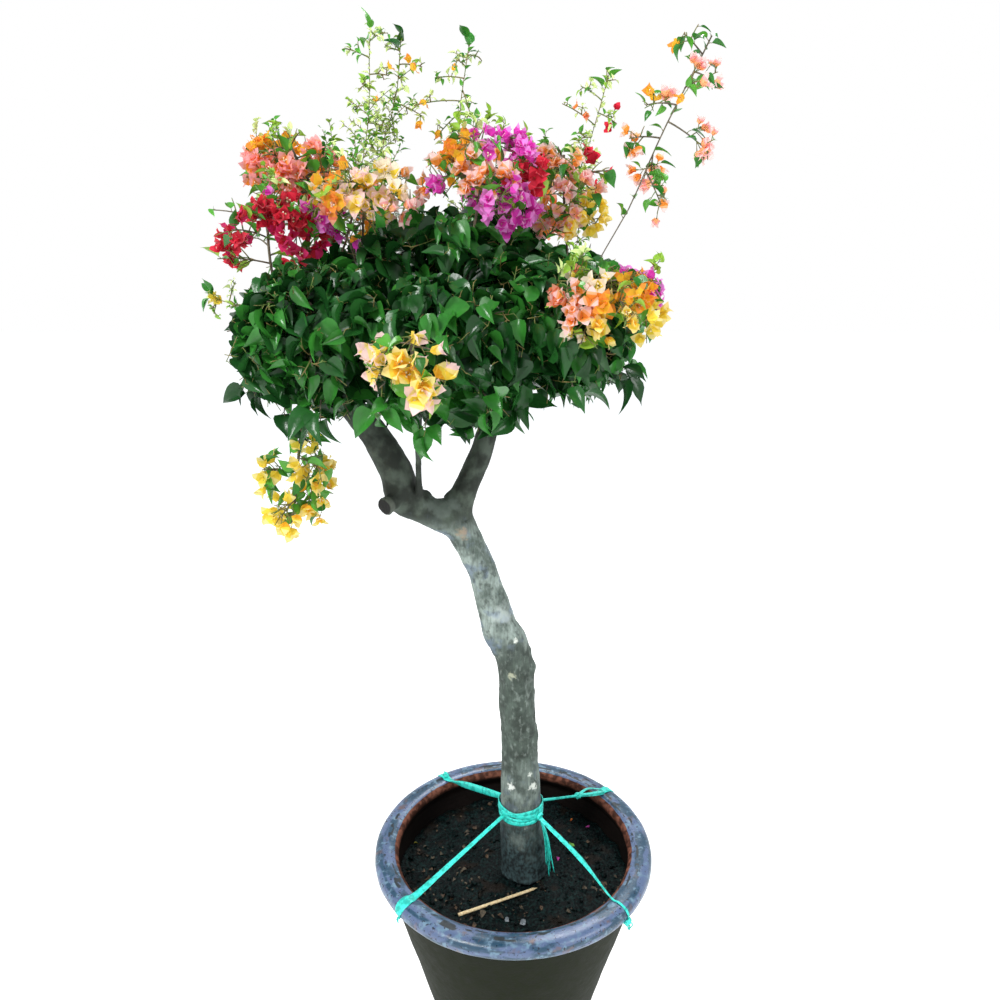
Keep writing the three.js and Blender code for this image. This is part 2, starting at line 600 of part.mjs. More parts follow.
for (const [name, degrees] of Object.entries(GUY_TURNS)) {
  const turn = THREE.MathUtils.degToRad(degrees);
  const hub = collarCurve.getPointAt(0.5);
  const off = GUY.radius + SEAT + GUY.slack;
  const reach = collarRadius(0.5);
  const start = new THREE.Vector3(hub.x + reach * Math.cos(turn), hub.y + reach * Math.sin(turn), GUY.hold);
  const over = GUY.over.map((angle) => besideRim(turn, angle, off));
  const before = over[0].clone().lerp(start, 0.08);
  const line = new THREE.CatmullRomCurve3([start, before, ...over], false, 'centripetal');
  const strand = solid(tube(line, () => GUY.radius, 5, 15));
  const knot = new THREE.IcosahedronGeometry(KNOT.radius, 0);
  knot.scale(KNOT.squeeze, KNOT.squeeze, KNOT.stretch);
  const seat = besideRim(turn, KNOT.angle, KNOT.off);
  knot.translate(seat.x, seat.y, seat.z - KNOT.drop);
  const guy = fuse([strand, solid(knot)]).subtract(collarRoom);
  place(`tie_${name}`, geometryOf(largest(guy)), 'twine');
}

// A pale cane that lies on the soil
const lie = SOIL.top + STICK.radius + SEAT;
const stickLine = new THREE.LineCurve3(vec([...STICK.from, lie]), vec([...STICK.to, lie]));
place('soil_cane', geometryOf(solid(tube(stickLine, () => STICK.radius, 8, 1))), 'cane');

export default root;
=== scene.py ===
"""A bougainvillea grown as a small leaning standard tree, in its round glazed pot.

The frame is loaded first. Sizes are millimetres in the frame's axes, +Z up and -Y towards the
front, and make_piece turns them to the scene's metres. The limbs and the crown follow the rule of
the part's source, written again here and carried on to finer twigs, leaves and blossom.
"""

import logging
import math
from dataclasses import dataclass, field
from enum import Enum
from typing import Any, Iterable

import bpy
import numpy as np
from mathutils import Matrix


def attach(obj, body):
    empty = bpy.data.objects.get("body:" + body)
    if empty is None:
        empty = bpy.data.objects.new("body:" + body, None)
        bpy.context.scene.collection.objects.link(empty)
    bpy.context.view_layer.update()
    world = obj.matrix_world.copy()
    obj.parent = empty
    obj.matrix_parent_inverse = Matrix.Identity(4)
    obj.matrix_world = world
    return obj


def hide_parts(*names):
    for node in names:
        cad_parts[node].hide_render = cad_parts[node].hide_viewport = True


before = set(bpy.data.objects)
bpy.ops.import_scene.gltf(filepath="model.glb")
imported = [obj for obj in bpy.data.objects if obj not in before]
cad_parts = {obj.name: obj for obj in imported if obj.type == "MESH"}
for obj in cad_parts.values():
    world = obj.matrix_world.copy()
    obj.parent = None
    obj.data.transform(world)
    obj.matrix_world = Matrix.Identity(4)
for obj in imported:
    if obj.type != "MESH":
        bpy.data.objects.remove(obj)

LOG = logging.getLogger("bougainvillea")
MM = 0.001
UP = np.array([0.0, 0.0, 1.0])
RIGHT = np.array([1.0, 0.0, 0.0])
TURN = math.pi * (3 - math.sqrt(5))
Array = np.ndarray
Rng = np.random.Generator
Socket = bpy.types.NodeSocket


# Numbers and noise


def unit(vectors: Array) -> Array:
    """Each vector divided by its length."""
    return vectors / np.maximum(np.linalg.norm(vectors, axis=-1, keepdims=True), 1e-9)


def lerp(low: Any, high: Any, share: Any) -> Any:
    """The value a share of the way from low to high."""
    return low + (high - low) * share


def ring_turns(sides: int) -> Array:
    """The turns of a ring's points, in radians."""
    return np.arange(sides) * 2 * math.pi / sides


def level_way(turn: Any) -> Array:
    """The level unit way at a turn in radians, or one for each turn."""
    return np.stack([np.cos(turn), np.sin(turn), np.zeros(np.shape(turn))], axis=-1)


def square_to(ways: Array, tilt: float = 0.0) -> tuple[Array, Array]:
    """Two unit vectors square to each way, the first level but for a tilt that keeps it defined."""
    across = unit(np.cross(ways, UP + tilt))
    return across, np.cross(ways, across)


def places_in(kind: type[Enum], members: Iterable[Enum]) -> Array:
    """The numbers of some members of an Enum in its order."""
    order = list(kind)
    return np.array([order.index(one) for one in members])


SEED_STRIDE = 0.6180339887
STRIDES = (0.7548776662, 0.569840291, 0.4142135624, 0.7320508076, 0.236067977)


def dice(seed: float, draws: Any, use: int) -> Any:
    """The source's seeded draws: shares of whole numbers of irrational strides.

    Args:
        seed: the number of the mass.
        draws: the number of the draw, or an array of them.
        use: which stride to take, one for each use.

    Returns:
        Numbers from 0 to 1.
    """
    value = seed * SEED_STRIDE + (np.asarray(draws) + 1) * STRIDES[use]
    return value - np.floor(value)


def noise(points: Array, cell: float, seed: int) -> Array:
    """Smooth noise: values hashed at the corners of cubes, blended by the smoothstep of the place.

    Args:
        points: places, the last axis holding x, y and z.
        cell: the side of a cube, in the units of the places.
        seed: a whole number that picks another field.

    Returns:
        One value from -1 to 1 for each place.
    """
    scaled = points / cell
    corner = np.floor(scaled).astype(np.int64)
    part = scaled - corner
    blend = part * part * (3 - 2 * part)
    total = np.zeros(points.shape[:-1])
    for offset in np.ndindex(2, 2, 2):
        at = corner + offset
        mixed = (at[..., 0] * 73856093) ^ (at[..., 1] * 19349663) ^ (at[..., 2] * 83492791)
        mixed = (mixed + seed * 374761393) & 0x7FFFFFFF
        mixed = ((mixed ^ (mixed >> 13)) * 1274126177) & 0x7FFFFFFF
        value = ((mixed ^ (mixed >> 16)) & 0xFFFF) / 32767.5 - 1
        total += value * np.where(offset, blend, 1 - blend).prod(axis=-1)
    return total


def rough(points: Array, cell: float, seed: int, layers: int = 3) -> Array:
    """Noise in layers, each of half the cell and half the height of the one before."""
    return sum(noise(points, cell / 2**k, seed + k) / 2**k for k in range(layers))


# Meshes


@dataclass
class Patch:
    """Vertices in millimetres, their faces, the material slot of each face and marks per vertex."""

    points: Array
    quads: Array = field(default_factory=lambda: np.zeros((0, 4), int))
    triangles: Array = field(default_factory=lambda: np.zeros((0, 3), int))
    quad_slots: Array | None = None
    triangle_slots: Array | None = None
    marks: dict[str, Array] = field(default_factory=dict)

    def __post_init__(self) -> None:
        """Gives every face slot 0 where no slots are named."""
        if self.quad_slots is None:
            self.quad_slots = np.zeros(len(self.quads), int)
        if self.triangle_slots is None:
            self.triangle_slots = np.zeros(len(self.triangles), int)


def joined(patches: Iterable[Patch]) -> Patch:
    """Several patches as one, each one's faces counted on past the vertices before it.

    Args:
        patches: the patches, of which those with no points are left out.

    Returns:
        One patch, with every mark that any of them has.
    """
    row = [one for one in patches if len(one.points)]
    starts = np.cumsum([0] + [len(one.points) for one in row[:-1]])
    names = set().union(*(one.marks for one in row))
    marks = {
        name: np.concatenate([one.marks.get(name, np.zeros(len(one.points))) for one in row])
        for name in names
    }
    return Patch(
        np.concatenate([one.points for one in row]),
        np.concatenate([one.quads + start for one, start in zip(row, starts)]),
        np.concatenate([one.triangles + start for one, start in zip(row, starts)]),
        np.concatenate([one.quad_slots for one in row]),
        np.concatenate([one.triangle_slots for one in row]),
        marks,
    )


def skinned(rings: Array, starts: Array, ends: Array, closed: bool = True) -> Patch:
    """Skins over rings of points, each with a fan of triangles to one more point at either end.

    Args:
        rings: the points, as (skins, rows, columns, 3).
        starts: the point before each skin's first ring.
        ends: the point past its last ring.
        closed: whether the rings close on themselves.

    Returns:
        One patch, each skin's points row after row and then its two ends.
    """
    count, rows, columns = rings.shape[:3]
    size = rows * columns
    points = np.concatenate([rings.reshape(count, size, 3), starts[:, None], ends[:, None]], axis=1)
    across = np.arange(columns if closed else columns - 1)
    after = (across + 1) % columns
    up = np.arange(rows - 1)[:, None] * columns
    quads = np.stack([up + across, up + after, up + columns + after, up + columns + across], axis=-1)
    last, middle = size - columns, np.full(len(across), size)
    fans = [[after, across, middle], [last + across, last + after, middle + 1]]
    triangles = np.concatenate([np.stack(fan, axis=1) for fan in fans])
    offsets = (np.arange(count) * (size + 2))[:, None, None]
    quads, triangles = quads.reshape(-1, 4) + offsets, triangles + offsets
    return Patch(points.reshape(-1, 3), quads.reshape(-1, 4), triangles.reshape(-1, 3))


def frames_along(path: Array) -> tuple[Array, Array]:
    """Two unit vectors across a path at each of its points, carried along it without twist.

    Args:
        path: the points of the path, one to a row.

    Returns:
        The two vectors at each point. Their cross product is the way of the path.
    """
    ways = unit(np.gradient(path, axis=0))
    first = [unit(np.cross(UP if abs(ways[0, 2]) < 0.9 else RIGHT, ways[0]))]
    for way in ways[1:]:
        first.append(unit(first[-1] - way * np.dot(first[-1], way)))
    over = np.array(first)
    return over, np.cross(ways, over)


def swept(path: Array, section: Array, outward: Array | None = None) -> Patch:
    """A closed skin: a section carried along a path, with a point in the middle of each end.

    Args:
        path: the points of the path, one to a row.
        section: for each point of the path, the offsets round it along the two vectors across it.
        outward: where given, the way that the section's second offset takes at each point.

    Returns:
        The skin, its faces outward.
    """
    first, second = frames_along(path)
    if outward is not None:
        ways = unit(np.gradient(path, axis=0))
        second = unit(outward - ways * (outward * ways).sum(axis=1, keepdims=True))
        first = np.cross(second, ways)
    rings = path[:, None] + first[:, None] * section[..., :1] + second[:, None] * section[..., 1:]
    return skinned(rings[None], path[:1], path[-1:])


def round_section(radii: Array, sides: int) -> Array:
    """A circle of each radius, as offsets for swept."""
    turns = ring_turns(sides)
    return radii[:, None, None] * np.stack([np.cos(turns), np.sin(turns)], axis=-1)


def rods(paths: Array, radii: Any, sides: int) -> Patch:
    """Many thin closed rods at once: rings round each path, drawn to a point at both ends.

    Args:
        paths: the points of each rod's path, as (rods, steps, 3).
        radii: the radius at each step.
        sides: how many sides a rod has.

    Returns:
        One patch that holds them all, their faces outward.
    """
    ways = unit(np.gradient(paths, axis=1))
    whole = unit(paths[:, -1] - paths[:, 0])
    steady = np.where(np.abs(whole[:, 2:]) < 0.7, UP, RIGHT)
    first = unit(np.cross(steady[:, None], ways))
    second = np.cross(ways, first)
    turns = ring_turns(sides)[:, None]
    ring = first[:, :, None] * np.cos(turns) + second[:, :, None] * np.sin(turns)
    rings = paths[:, :, None] + ring * np.reshape(radii, (-1, 1, 1))
    return skinned(rings, paths[:, 0], paths[:, -1])


def stamped(form: Patch, at: Array, way: Array, facing: Array, size: Array, slots: Array) -> Patch:
    """Copies of a form laid flat: its y runs along a way, its z along the face and its x across.

    Args:
        form: the form, in shares of its size.
        at: the place of its root in each copy.
        way: the way that its y takes in each.
        facing: the way that its z takes, once squared to the first.
        size: the size of each along x, y and z.
        slots: for each copy, the material slot that stands for each of the form's own slots.

    Returns:
        One patch that holds all the copies.
    """
    side = unit(np.cross(way, facing))
    over = np.cross(side, way)
    local = form.points[None] * size[:, None]
    points = at[:, None] + side[:, None] * local[..., :1] + way[:, None] * local[..., 1:2]
    points = points + over[:, None] * local[..., 2:]
    starts = (np.arange(len(at)) * len(form.points))[:, None, None]
    return Patch(
        points.reshape(-1, 3),
        (form.quads[None] + starts).reshape(-1, 4),
        (form.triangles[None] + starts).reshape(-1, 3),
        slots[:, form.quad_slots].reshape(-1),
        slots[:, form.triangle_slots].reshape(-1),
    )


def mesh_of(name: str, patch: Patch) -> bpy.types.Mesh:
    """A smooth-shaded mesh in metres from a patch, with its marks as attributes.

    Args:
        name: the mesh's name.
        patch: its faces.

    Returns:
        The new mesh.
    """
    corners = np.concatenate([patch.quads.reshape(-1), patch.triangles.reshape(-1)])
    totals = np.concatenate([np.full(len(patch.quads), 4), np.full(len(patch.triangles), 3)])
    mesh = bpy.data.meshes.new(name)
    mesh.vertices.add(len(patch.points))
    mesh.vertices.foreach_set("co", (patch.points * MM).astype(np.float32).reshape(-1))
    mesh.loops.add(len(corners))
    mesh.loops.foreach_set("vertex_index", corners.astype(np.int32))
    mesh.polygons.add(len(totals))
    mesh.polygons.foreach_set("loop_start", (np.cumsum(totals) - totals).astype(np.int32))
    slots = np.concatenate([patch.quad_slots, patch.triangle_slots]).astype(np.int32)
    mesh.polygons.foreach_set("material_index", slots)
    mesh.polygons.foreach_set("use_smooth", np.ones(len(totals), bool))
    mesh.update(calc_edges=True)
    for mark, values in patch.marks.items():
        layer = mesh.attributes.new(mark, "FLOAT", "POINT")
        layer.data.foreach_set("value", values.astype(np.float32))
    return mesh


def placed(name: str, data: Any, place: Any = (0, 0, 0), turn: Any = (0, 0, 0)) -> bpy.types.Object:
    """Puts a new object in the scene.

    Args:
        name: its name.
        data: its mesh, camera or light.
        place: where it stands, in metres.
        turn: its turn, in radians.

    Returns:
        The object.
    """
    thing = bpy.data.objects.new(name, data)
    thing.location = place
    thing.rotation_euler = turn
    bpy.context.scene.collection.objects.link(thing)
    return thing


def make_piece(
    name: str, patch: Patch, finishes: list[bpy.types.Material], stands_for: Iterable[str] = ()
) -> bpy.types.Object:
    """Makes one piece of the plant or its pot, riding on the one body of the frame.

    Args:
        name: the name of the piece.
        patch: its skin.
        finishes: its materials, in the order of its slots.
        stands_for: the nodes of the frame that it replaces.

    Returns:
        The new object.
    """
    mesh = mesh_of(name, patch)
    for finish in finishes:
        mesh.materials.append(finish)
    piece = placed(name, mesh)
    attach(piece, "root")
    nodes = list(stands_for)
    if nodes:
        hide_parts(*nodes)
    triangles = 2 * len(patch.quads) + len(patch.triangles)
    LOG.info("%s: %d triangles, for %s", name, triangles, ", ".join(nodes) or "no node")
    return piece


def fused(patch: Patch, voxel: float, softenings: int) -> tuple[Patch, Array]:
    """Closed skins that cross, as one skin: a voxel remesh, then a smoothing of what it leaves.

    Args:
        patch: the closed skins.
        voxel: the side of a voxel in millimetres.
        softenings: how often the smoothing runs.

    Returns:
        The new skin and the unit normal at each of its vertices.
    """
    rough_object = placed("fusing", mesh_of("fusing", patch))
    remesh = rough_object.modifiers.new("skin", "REMESH")
    remesh.mode = "VOXEL"
    remesh.voxel_size = voxel * MM
    soften = rough_object.modifiers.new("soften", "SMOOTH")
    soften.factor = 0.5
    soften.iterations = softenings
    graph = bpy.context.evaluated_depsgraph_get()
    mesh = bpy.data.meshes.new_from_object(rough_object.evaluated_get(graph))
    points, normals = np.empty((2, len(mesh.vertices) * 3))
    totals, corners = np.empty(len(mesh.polygons), np.int32), np.empty(len(mesh.loops), np.int32)
    mesh.vertices.foreach_get("co", points)
    mesh.vertices.foreach_get("normal", normals)
    mesh.polygons.foreach_get("loop_total", totals)
    mesh.loops.foreach_get("vertex_index", corners)
    firsts = np.cumsum(totals) - totals
    quads = corners[firsts[totals == 4][:, None] + np.arange(4)]
    triangles = corners[firsts[totals == 3][:, None] + np.arange(3)]
    bpy.data.objects.remove(rough_object)
    return Patch(points.reshape(-1, 3) / MM, quads, triangles), normals.reshape(-1, 3)


# Materials


SMOOTH = "SMOOTHSTEP"


def linear(colour: str) -> tuple[float, float, float, float]:
    """A colour's linear value from its sRGB hex value."""
    parts = [int(colour[k : k + 2], 16) / 255 for k in (1, 3, 5)]
    red, green, blue = (c / 12.92 if c <= 0.04045 else ((c + 0.055) / 1.055) ** 2.4 for c in parts)
    return red, green, blue, 1.0


class Shading:
    """A material, or the surround, while it is made: its nodes and the coordinates they read."""

    def __init__(self, name: str, kind: str = "materials", coordinates: str = "Object") -> None:
        """Starts it with no nodes but its coordinates.

        Args:
            name: its name.
            kind: whether it is among the materials or the worlds.
            coordinates: which coordinates its patterns read.
        """
        self.made = getattr(bpy.data, kind).new(name)
        self.made.use_nodes = True
        self.tree = self.made.node_tree
        self.tree.nodes.clear()
        self.place = self.add("TexCoord", {}, coordinates)

    def add(self, kind: str, inputs: dict[Any, Any], output: int | str = 0, **settings: Any) -> Any:
        """Adds a node, with its settings, values and links.

        Args:
            kind: the node's type, past the words that all of them begin with.
            inputs: for each input its value, its hex colour or the socket that is linked to it.
            output: which of its outputs is wanted.
            settings: the node's own properties.

        Returns:
            The socket of that output, if it has any.
        """
        node = self.tree.nodes.new("ShaderNode" + kind)
        for key, value in settings.items():
            setattr(node, key, value)
        for key, value in inputs.items():
            if isinstance(value, Socket):
                self.tree.links.new(value, node.inputs[key])
            else:
                node.inputs[key].default_value = linear(value) if isinstance(value, str) else value
        return node.outputs[output] if len(node.outputs) else None

    def grain(self, size: float, detail: float = 3, stretch: float = 1) -> Socket:
        """A noise pattern whose marks are a size in millimetres, drawn out along the upright.

        Args:
            size: the width of a mark in millimetres.
            detail: how many finer layers it has.
            stretch: how many times longer than wide a mark is.

        Returns:
            The socket of the pattern's value, from 0 to 1.
        """
        scale = 1 / (size * MM)
        at = self.add("Mapping", {"Vector": self.place, "Scale": (scale, scale, scale / stretch)})
        return self.add("TexNoise", {"Vector": at, "Scale": 1.0, "Detail": detail})

    def layered(self, base: str | Socket, *layers: tuple[Any, ...]) -> Socket:
        """A colour with others laid over it in turn, each where its pattern says.

        Args:
            base: the hex value or socket of the colour under them.
            layers: for each its colour, its pattern's socket, the values at which it begins and ends
                to cover, and how much it covers at most where that isn't all.

        Returns:
            The socket of the colour.
        """
        for colour, marks, low, high, *most in layers:
            inputs = {"Value": marks, "From Min": low, "From Max": high, "To Max": sum(most) or 1.0}
            share = self.add("MapRange", inputs, interpolation_type=SMOOTH)
            base = self.add("Mix", {0: share, 6: base, 7: colour}, 2, data_type="RGBA")
        return base

    def finished(
        self, looks: dict[str, Any], marks: Socket | None = None, depth: float = 0,
        strength: float = 1, through: tuple[Socket, float] | None = None,
    ) -> bpy.types.Material:
        """Gives the material its surface.

        Args:
            looks: the inputs of its surface shader.
            marks: the socket of the pattern that stands out of it, if any.
            depth: how far that stands out, in millimetres.
            strength: how much of it shows.
            through: for a thin blade, the colour and the share of the light that goes through it.

        Returns:
            The material.
        """
        if marks:
            bump = {"Height": marks, "Distance": depth * MM, "Strength": strength}
            looks = {**looks, "Normal": self.add("Bump", bump)}
        shader = self.add("BsdfPrincipled", looks)
        if through:
            passed = self.add("BsdfTranslucent", {"Color": through[0]})
            shader = self.add("MixShader", {0: through[1], 1: shader, 2: passed})
        self.add("OutputMaterial", {"Surface": shader})
        return self.made


class Green(Enum):
    """The leaf colours that the sprays are dealt."""

    DEEP = "#143c17"
    DARK = "#1f5220"
    MID = "#2f7228"
    FRESH = "#4c9030"
    YOUNG = "#83ab3a"
    PALE = "#c2d58c"


class Tint(Enum):
    """The plain colours of the bracts, each spray taking one for base, middle and tip."""

    CRIMSON = "#c91233"
    SCARLET = "#e62a45"
    ROSE = "#d8256b"
    MAGENTA = "#e83fc4"
    ORCHID = "#f092e2"
    CORAL = "#f57f55"
    PEACH = "#fcbe88"
    ORANGE = "#f59a35"
    SALMON = "#f9a98a"
    PINK = "#fcb3b4"
    BLUSH = "#fcdbd8"
    GOLD = "#f7c12c"
    LEMON = "#f6dd4c"
    BUTTER = "#fbe998"
    CREAM = "#fdf1dd"


@dataclass(frozen=True)
class LeafSkin:
    """Living leaf: a smooth waxy skin over soft tissue, which gives it a satin gloss."""

    green: Green
    mottle: float = 22
    vein_spacing: float = 7
    roughness: float = 0.27

    def material(self) -> bpy.types.Material:
        """The plain green with a slight mottle, and a bump as of raised veins.

        Returns:
            The material.
        """
        skin = Shading(f"leaf_skin_{self.green.name.lower()}")
        pale = skin.add("HueSaturation", {"Color": self.green.value, "Value": 1.35})
        colour = skin.layered(self.green.value, (pale, skin.grain(self.mottle, 2), 0.35, 0.75))
        looks = {"Base Color": colour, "Roughness": self.roughness, "IOR": 1.45}
        return skin.finished(looks, skin.grain(self.vein_spacing, 2), 0.7, 0.6, (pale, 0.16))


@dataclass(frozen=True)
class BractPaper:
    """Bract: a dry papery leaf, thin and finely veined, which scatters light without a gloss."""

    tint: Tint
    crease: float = 5

    def material(self) -> bpy.types.Material:
        """The plain tint, faintly darker in noise patches painted as the shade of its creases.

        Returns:
            The material.
        """
        paper = Shading(f"bract_paper_{self.tint.name.lower()}")
        # A faintly darker tone, painted as the shade of the bract's creases
        deep = paper.add("HueSaturation", {"Color": self.tint.value, "Value": 0.86})
        creases = paper.grain(self.crease, 2)
        colour = paper.layered(self.tint.value, (deep, creases, 0.5, 0.8))
        looks = {"Base Color": colour, "Roughness": 0.7, "IOR": 1.4, "Sheen Weight": 0.35}
        return paper.finished(looks, creases, 0.6, 0.5, (colour, 0.52))


@dataclass(frozen=True)
class PlainSkin:
    """A thin skin of one colour with a mottle, for stems, small flowers and litter."""

    name: str
    colour: str
    other: str
    size: float
    roughness: float = 0.7

    def material(self) -> bpy.types.Material:
        """Two near colours in marks of the given size, and a bump from them.

        Returns:
            The material.
        """
        skin = Shading(self.name)
        marks = skin.grain(self.size)
        colour = skin.layered(self.colour, (self.other, marks, 0.35, 0.65))
        return skin.finished({"Base Color": colour, "Roughness": self.roughness}, marks, 0.4, 0.6)


@dataclass(frozen=True)
class Dab:
    """One mark on the bark: its place in metres, its radius in millimetres, its colour and how much
    it covers."""

    at: tuple[float, float, float]
    radius: float
    colour: str
    share: float = 0.9


# Lichen above the collar, the tan and yellow scars of the fork, its pale cloud and the pale scar
DABS = (
    Dab((-0.007, -0.036, 0.596), 9, "#e6e9e2"),
    Dab((0.037, -0.03, 0.594), 10, "#dfe3da"),
    Dab((0.03, -0.032, 0.622), 5, "#d3d8cf"),
    Dab((0.022, -0.036, 0.508), 5, "#d3d8cf"),
    Dab((-0.091, -0.024, 1.1), 12, "#a38d74", 0.7),
    Dab((-0.125, -0.02, 1.15), 30, "#75827a", 0.4),
    Dab((-0.21, -0.04, 1.215), 5, "#a39a63", 0.7),
    Dab((-0.005, -0.032, 0.83), 8, "#b3b59b", 0.7),
    Dab((-0.02, -0.026, 0.945), 26, "#c3cdc9", 0.42),
    Dab((0.0, -0.027, 0.898), 6, "#dfe3da", 0.8),
    Dab((-0.045, -0.02, 0.885), 24, "#6c7d90", 0.6),
)


@dataclass(frozen=True)
class Bark:
    """Old bougainvillea bark: thin grey cork, finely cracked along the trunk, with pale lichen and
    green algae. It is darker at its wet foot, and its colour is painted darker up the boughs as the
    crown's shade."""

    fissure: float = 4
    patch: float = 34
    hollow: tuple[float, float, float] = (-0.217, -0.058, 1.157)

    def material(self) -> bpy.types.Material:
        """Mottled greys in patches, streaks along the grain, pits and dabs, painted shade of the crown
        from the fork up, and a sawn hollow painted near black as its shade, greyer round its lip.
        Heights and distances that edges follow are in metres.

        Returns:
            The material.
        """
        bark = Shading("bark_grey_cork")
        height = bark.add("SeparateXYZ", {"Vector": bark.place}, "Z")
        patches = bark.grain(self.patch, 6, 1.1)
        streaks = bark.grain(self.fissure, 4, 5)
        shade, damp = (
            bark.add("Math", {0: patches, 1: ragged, 2: height}, operation="MULTIPLY_ADD")
            for ragged in (0.12, 0.14)
        )
        slate = ("#74838e", bark.grain(30, 4), 0.52, 0.64)
        pale = bark.layered("#56635c", ("#98a69f", patches, 0.36, 0.64), slate)
        colour = bark.layered(
            "#29322b",
            ("#515e55", patches, 0.34, 0.66),
            (pale, height, 0.85, 0.93),
            (pale, height, 0.67, 0.6, 0.42),
            ("#2c332e", streaks, 0.56, 0.38, 0.32),
            ("#a9b5ad", bark.grain(8, 5, 1.8), 0.5, 0.72, 0.3),
            ("#28302a", bark.grain(10, 5, 1.3), 0.46, 0.32, 0.55),
            # Painted shade of the crown: the bark darker from the fork up
            (bark.layered("#1d241c", ("#4a554a", patches, 0.4, 0.66)), shade, 1.15, 1.195),
        )
        for dab in DABS:
            size = dab.radius * MM
            inputs = {0: bark.grain(dab.radius * 0.7), 1: size * 2.4, 2: self.away(bark, dab.at)}
            reach = bark.add("Math", inputs, operation="MULTIPLY_ADD")
            colour = bark.layered(colour, (dab.colour, reach, size * 2.3, size * 1.6, dab.share))
        wet = bark.layered("#0f1b1d", ("#3d5355", bark.grain(6, 6, 1.4), 0.36, 0.66))
        # The sawn stub: greyer round its lip, and near black inside, painted as the hollow's shade
        away = self.away(bark, self.hollow)
        hollow = ("#50564d", away, 0.02, 0.0165), ("#0b0a08", away, 0.015, 0.012)
        colour = bark.layered(colour, (wet, damp, 0.62, 0.5), *hollow)
        return bark.finished({"Base Color": colour, "Roughness": 0.8}, streaks, 0.9, 0.7)

    def away(self, bark: Shading, place: tuple[float, float, float]) -> Socket:
        """The socket of the distance from a place, in metres."""
        return bark.add("VectorMath", {0: bark.place, 1: place}, "Value", operation="DISTANCE")


@dataclass(frozen=True)
class StonewareGlaze:
    """Thrown stoneware: a brown clay body, a runny purple-grey ash glaze on the rolled rim, worn and
    pitted, and a bare orange-brown band inside the lip, below which the inner wall is near black,
    partly soil stain and partly painted shade. The glaze gives a broken wet shine."""

    mottle: float = 13
    pit: float = 5

    def material(self) -> bpy.types.Material:
        """Three zones from the mark on the turned wall, their edges broken by noise.

        Returns:
            The material.
        """
        glaze = Shading("stoneware_ash_glaze")
        zone, streak, scar, stain_and_shade = (
            glaze.add("Attribute", {}, "Fac", attribute_name=mark)
            for mark in ("zone", "streak", "scar", "stain_and_shade")
        )
        clouds = glaze.grain(self.mottle, 5)
        edge = glaze.add("Math", {0: clouds, 1: 0.5, 2: zone}, operation="MULTIPLY_ADD")
        worn = {"Value": clouds, "From Min": 0.34, "From Max": 0.5, "To Max": scar}
        rim = glaze.layered(
            "#2c4a60",
            ("#596a8b", streak, 0.34, 0.66),
            ("#6d8a9f", clouds, 0.5, 0.7),
            ("#6b5654", glaze.grain(24, 4), 0.58, 0.74),
            ("#232938", glaze.grain(self.pit), 0.6, 0.68),
            ("#1b2429", glaze.add("MapRange", worn, interpolation_type=SMOOTH), 0.25, 0.6),
        )
        # The inner wall below the bare band: near black, soil stain and painted shade
        dirt_and_shade = glaze.add("Mix", {0: clouds, 6: "#070504", 7: "#17100d"}, 2, data_type="RGBA")
        lip = glaze.layered("#43281f", ("#7f5040", clouds, 0.4, 0.65), (dirt_and_shade, stain_and_shade, 0.1, 0.9))
        body = glaze.layered("#101505", ("#161c09", clouds, 0.3, 0.7))
        colour = glaze.layered(body, (rim, edge, 0.65, 0.85), (lip, edge, 1.67, 1.83))
        inner = {"Value": edge, "From Min": 1.67, "From Max": 1.83}
        inner = glaze.add("MapRange", inner, interpolation_type=SMOOTH)
        bare = {"Value": edge, "From Min": 0.85, "From Max": 0.65, "To Min": inner}
        bare = glaze.add("MapRange", bare, interpolation_type=SMOOTH)
        gloss = glaze.add("MapRange", {"Value": clouds, "To Min": 0.18, "To Max": 0.45})
        looks = {
            "Base Color": colour,
            "Specular IOR Level": glaze.add("MapRange", {"Value": bare, "To Min": 0.5, "To Max": 0.1}),
            "Roughness": glaze.add("Math", {0: bare, 1: 0.35, 2: gloss}, operation="MULTIPLY_ADD"),
        }
        return glaze.finished(looks, glaze.grain(self.pit, 4), 0.7, 0.5)


@dataclass(frozen=True)
class PottingSoil:
    """Moist peat and bark compost: crumbs that drink the light, with a few damp glints."""

    crumb: float = 5

    def material(self) -> bpy.types.Material:
        """Near black with brown crumbs.

        Returns:
            The material.
        """
        soil = Shading("potting_soil")
        crumbs = soil.grain(self.crumb, 5)
        brown = ("#1a1510", soil.grain(40, 4), 0.55, 0.68)
        colour = soil.layered("#010506", ("#122927", crumbs, 0.42, 0.7), brown)
        looks = {"Base Color": colour, "Roughness": 0.5, "Specular IOR Level": 0.14}
        return soil.finished(looks, crumbs, 4)


@dataclass(frozen=True)
class SplitFilmTwine:
    """Polypropylene tying twine: stretched plastic film split into fibres, with a silky gleam."""

    colour: str = "#3de2d2"
    # A darker tone, painted as the shade in the film's folds
    fold: str = "#22b3a5"
    fibre: float = 4

    def material(self) -> bpy.types.Material:
        """Bright film over a darker tone in noise patches, painted as the shade of its folds, and fibres
        too fine to show drawn a little coarser.

        Returns:
            The material.
        """
        film = Shading("split_film_twine")
        fibres = film.grain(self.fibre * 2, 2)
        colour = film.layered(self.fold, (self.colour, fibres, 0.34, 0.56))
        return film.finished({"Base Color": colour, "Roughness": 0.38, "IOR": 1.49}, fibres, 0.5, 0.7)


@dataclass(frozen=True)
class StudioSheet:
    """A matt pale sheet for the floor."""

    colour: str = "#f2f2f0"
    glow: str = "#ffffff"

    def material(self) -> bpy.types.Material:
        """One pale colour, matt, that glows a little."""
        looks = {"Base Color": self.colour, "Roughness": 0.9}
        looks |= {"Emission Color": self.glow, "Emission Strength": 0.6}
        return Shading("studio_sheet").finished(looks)


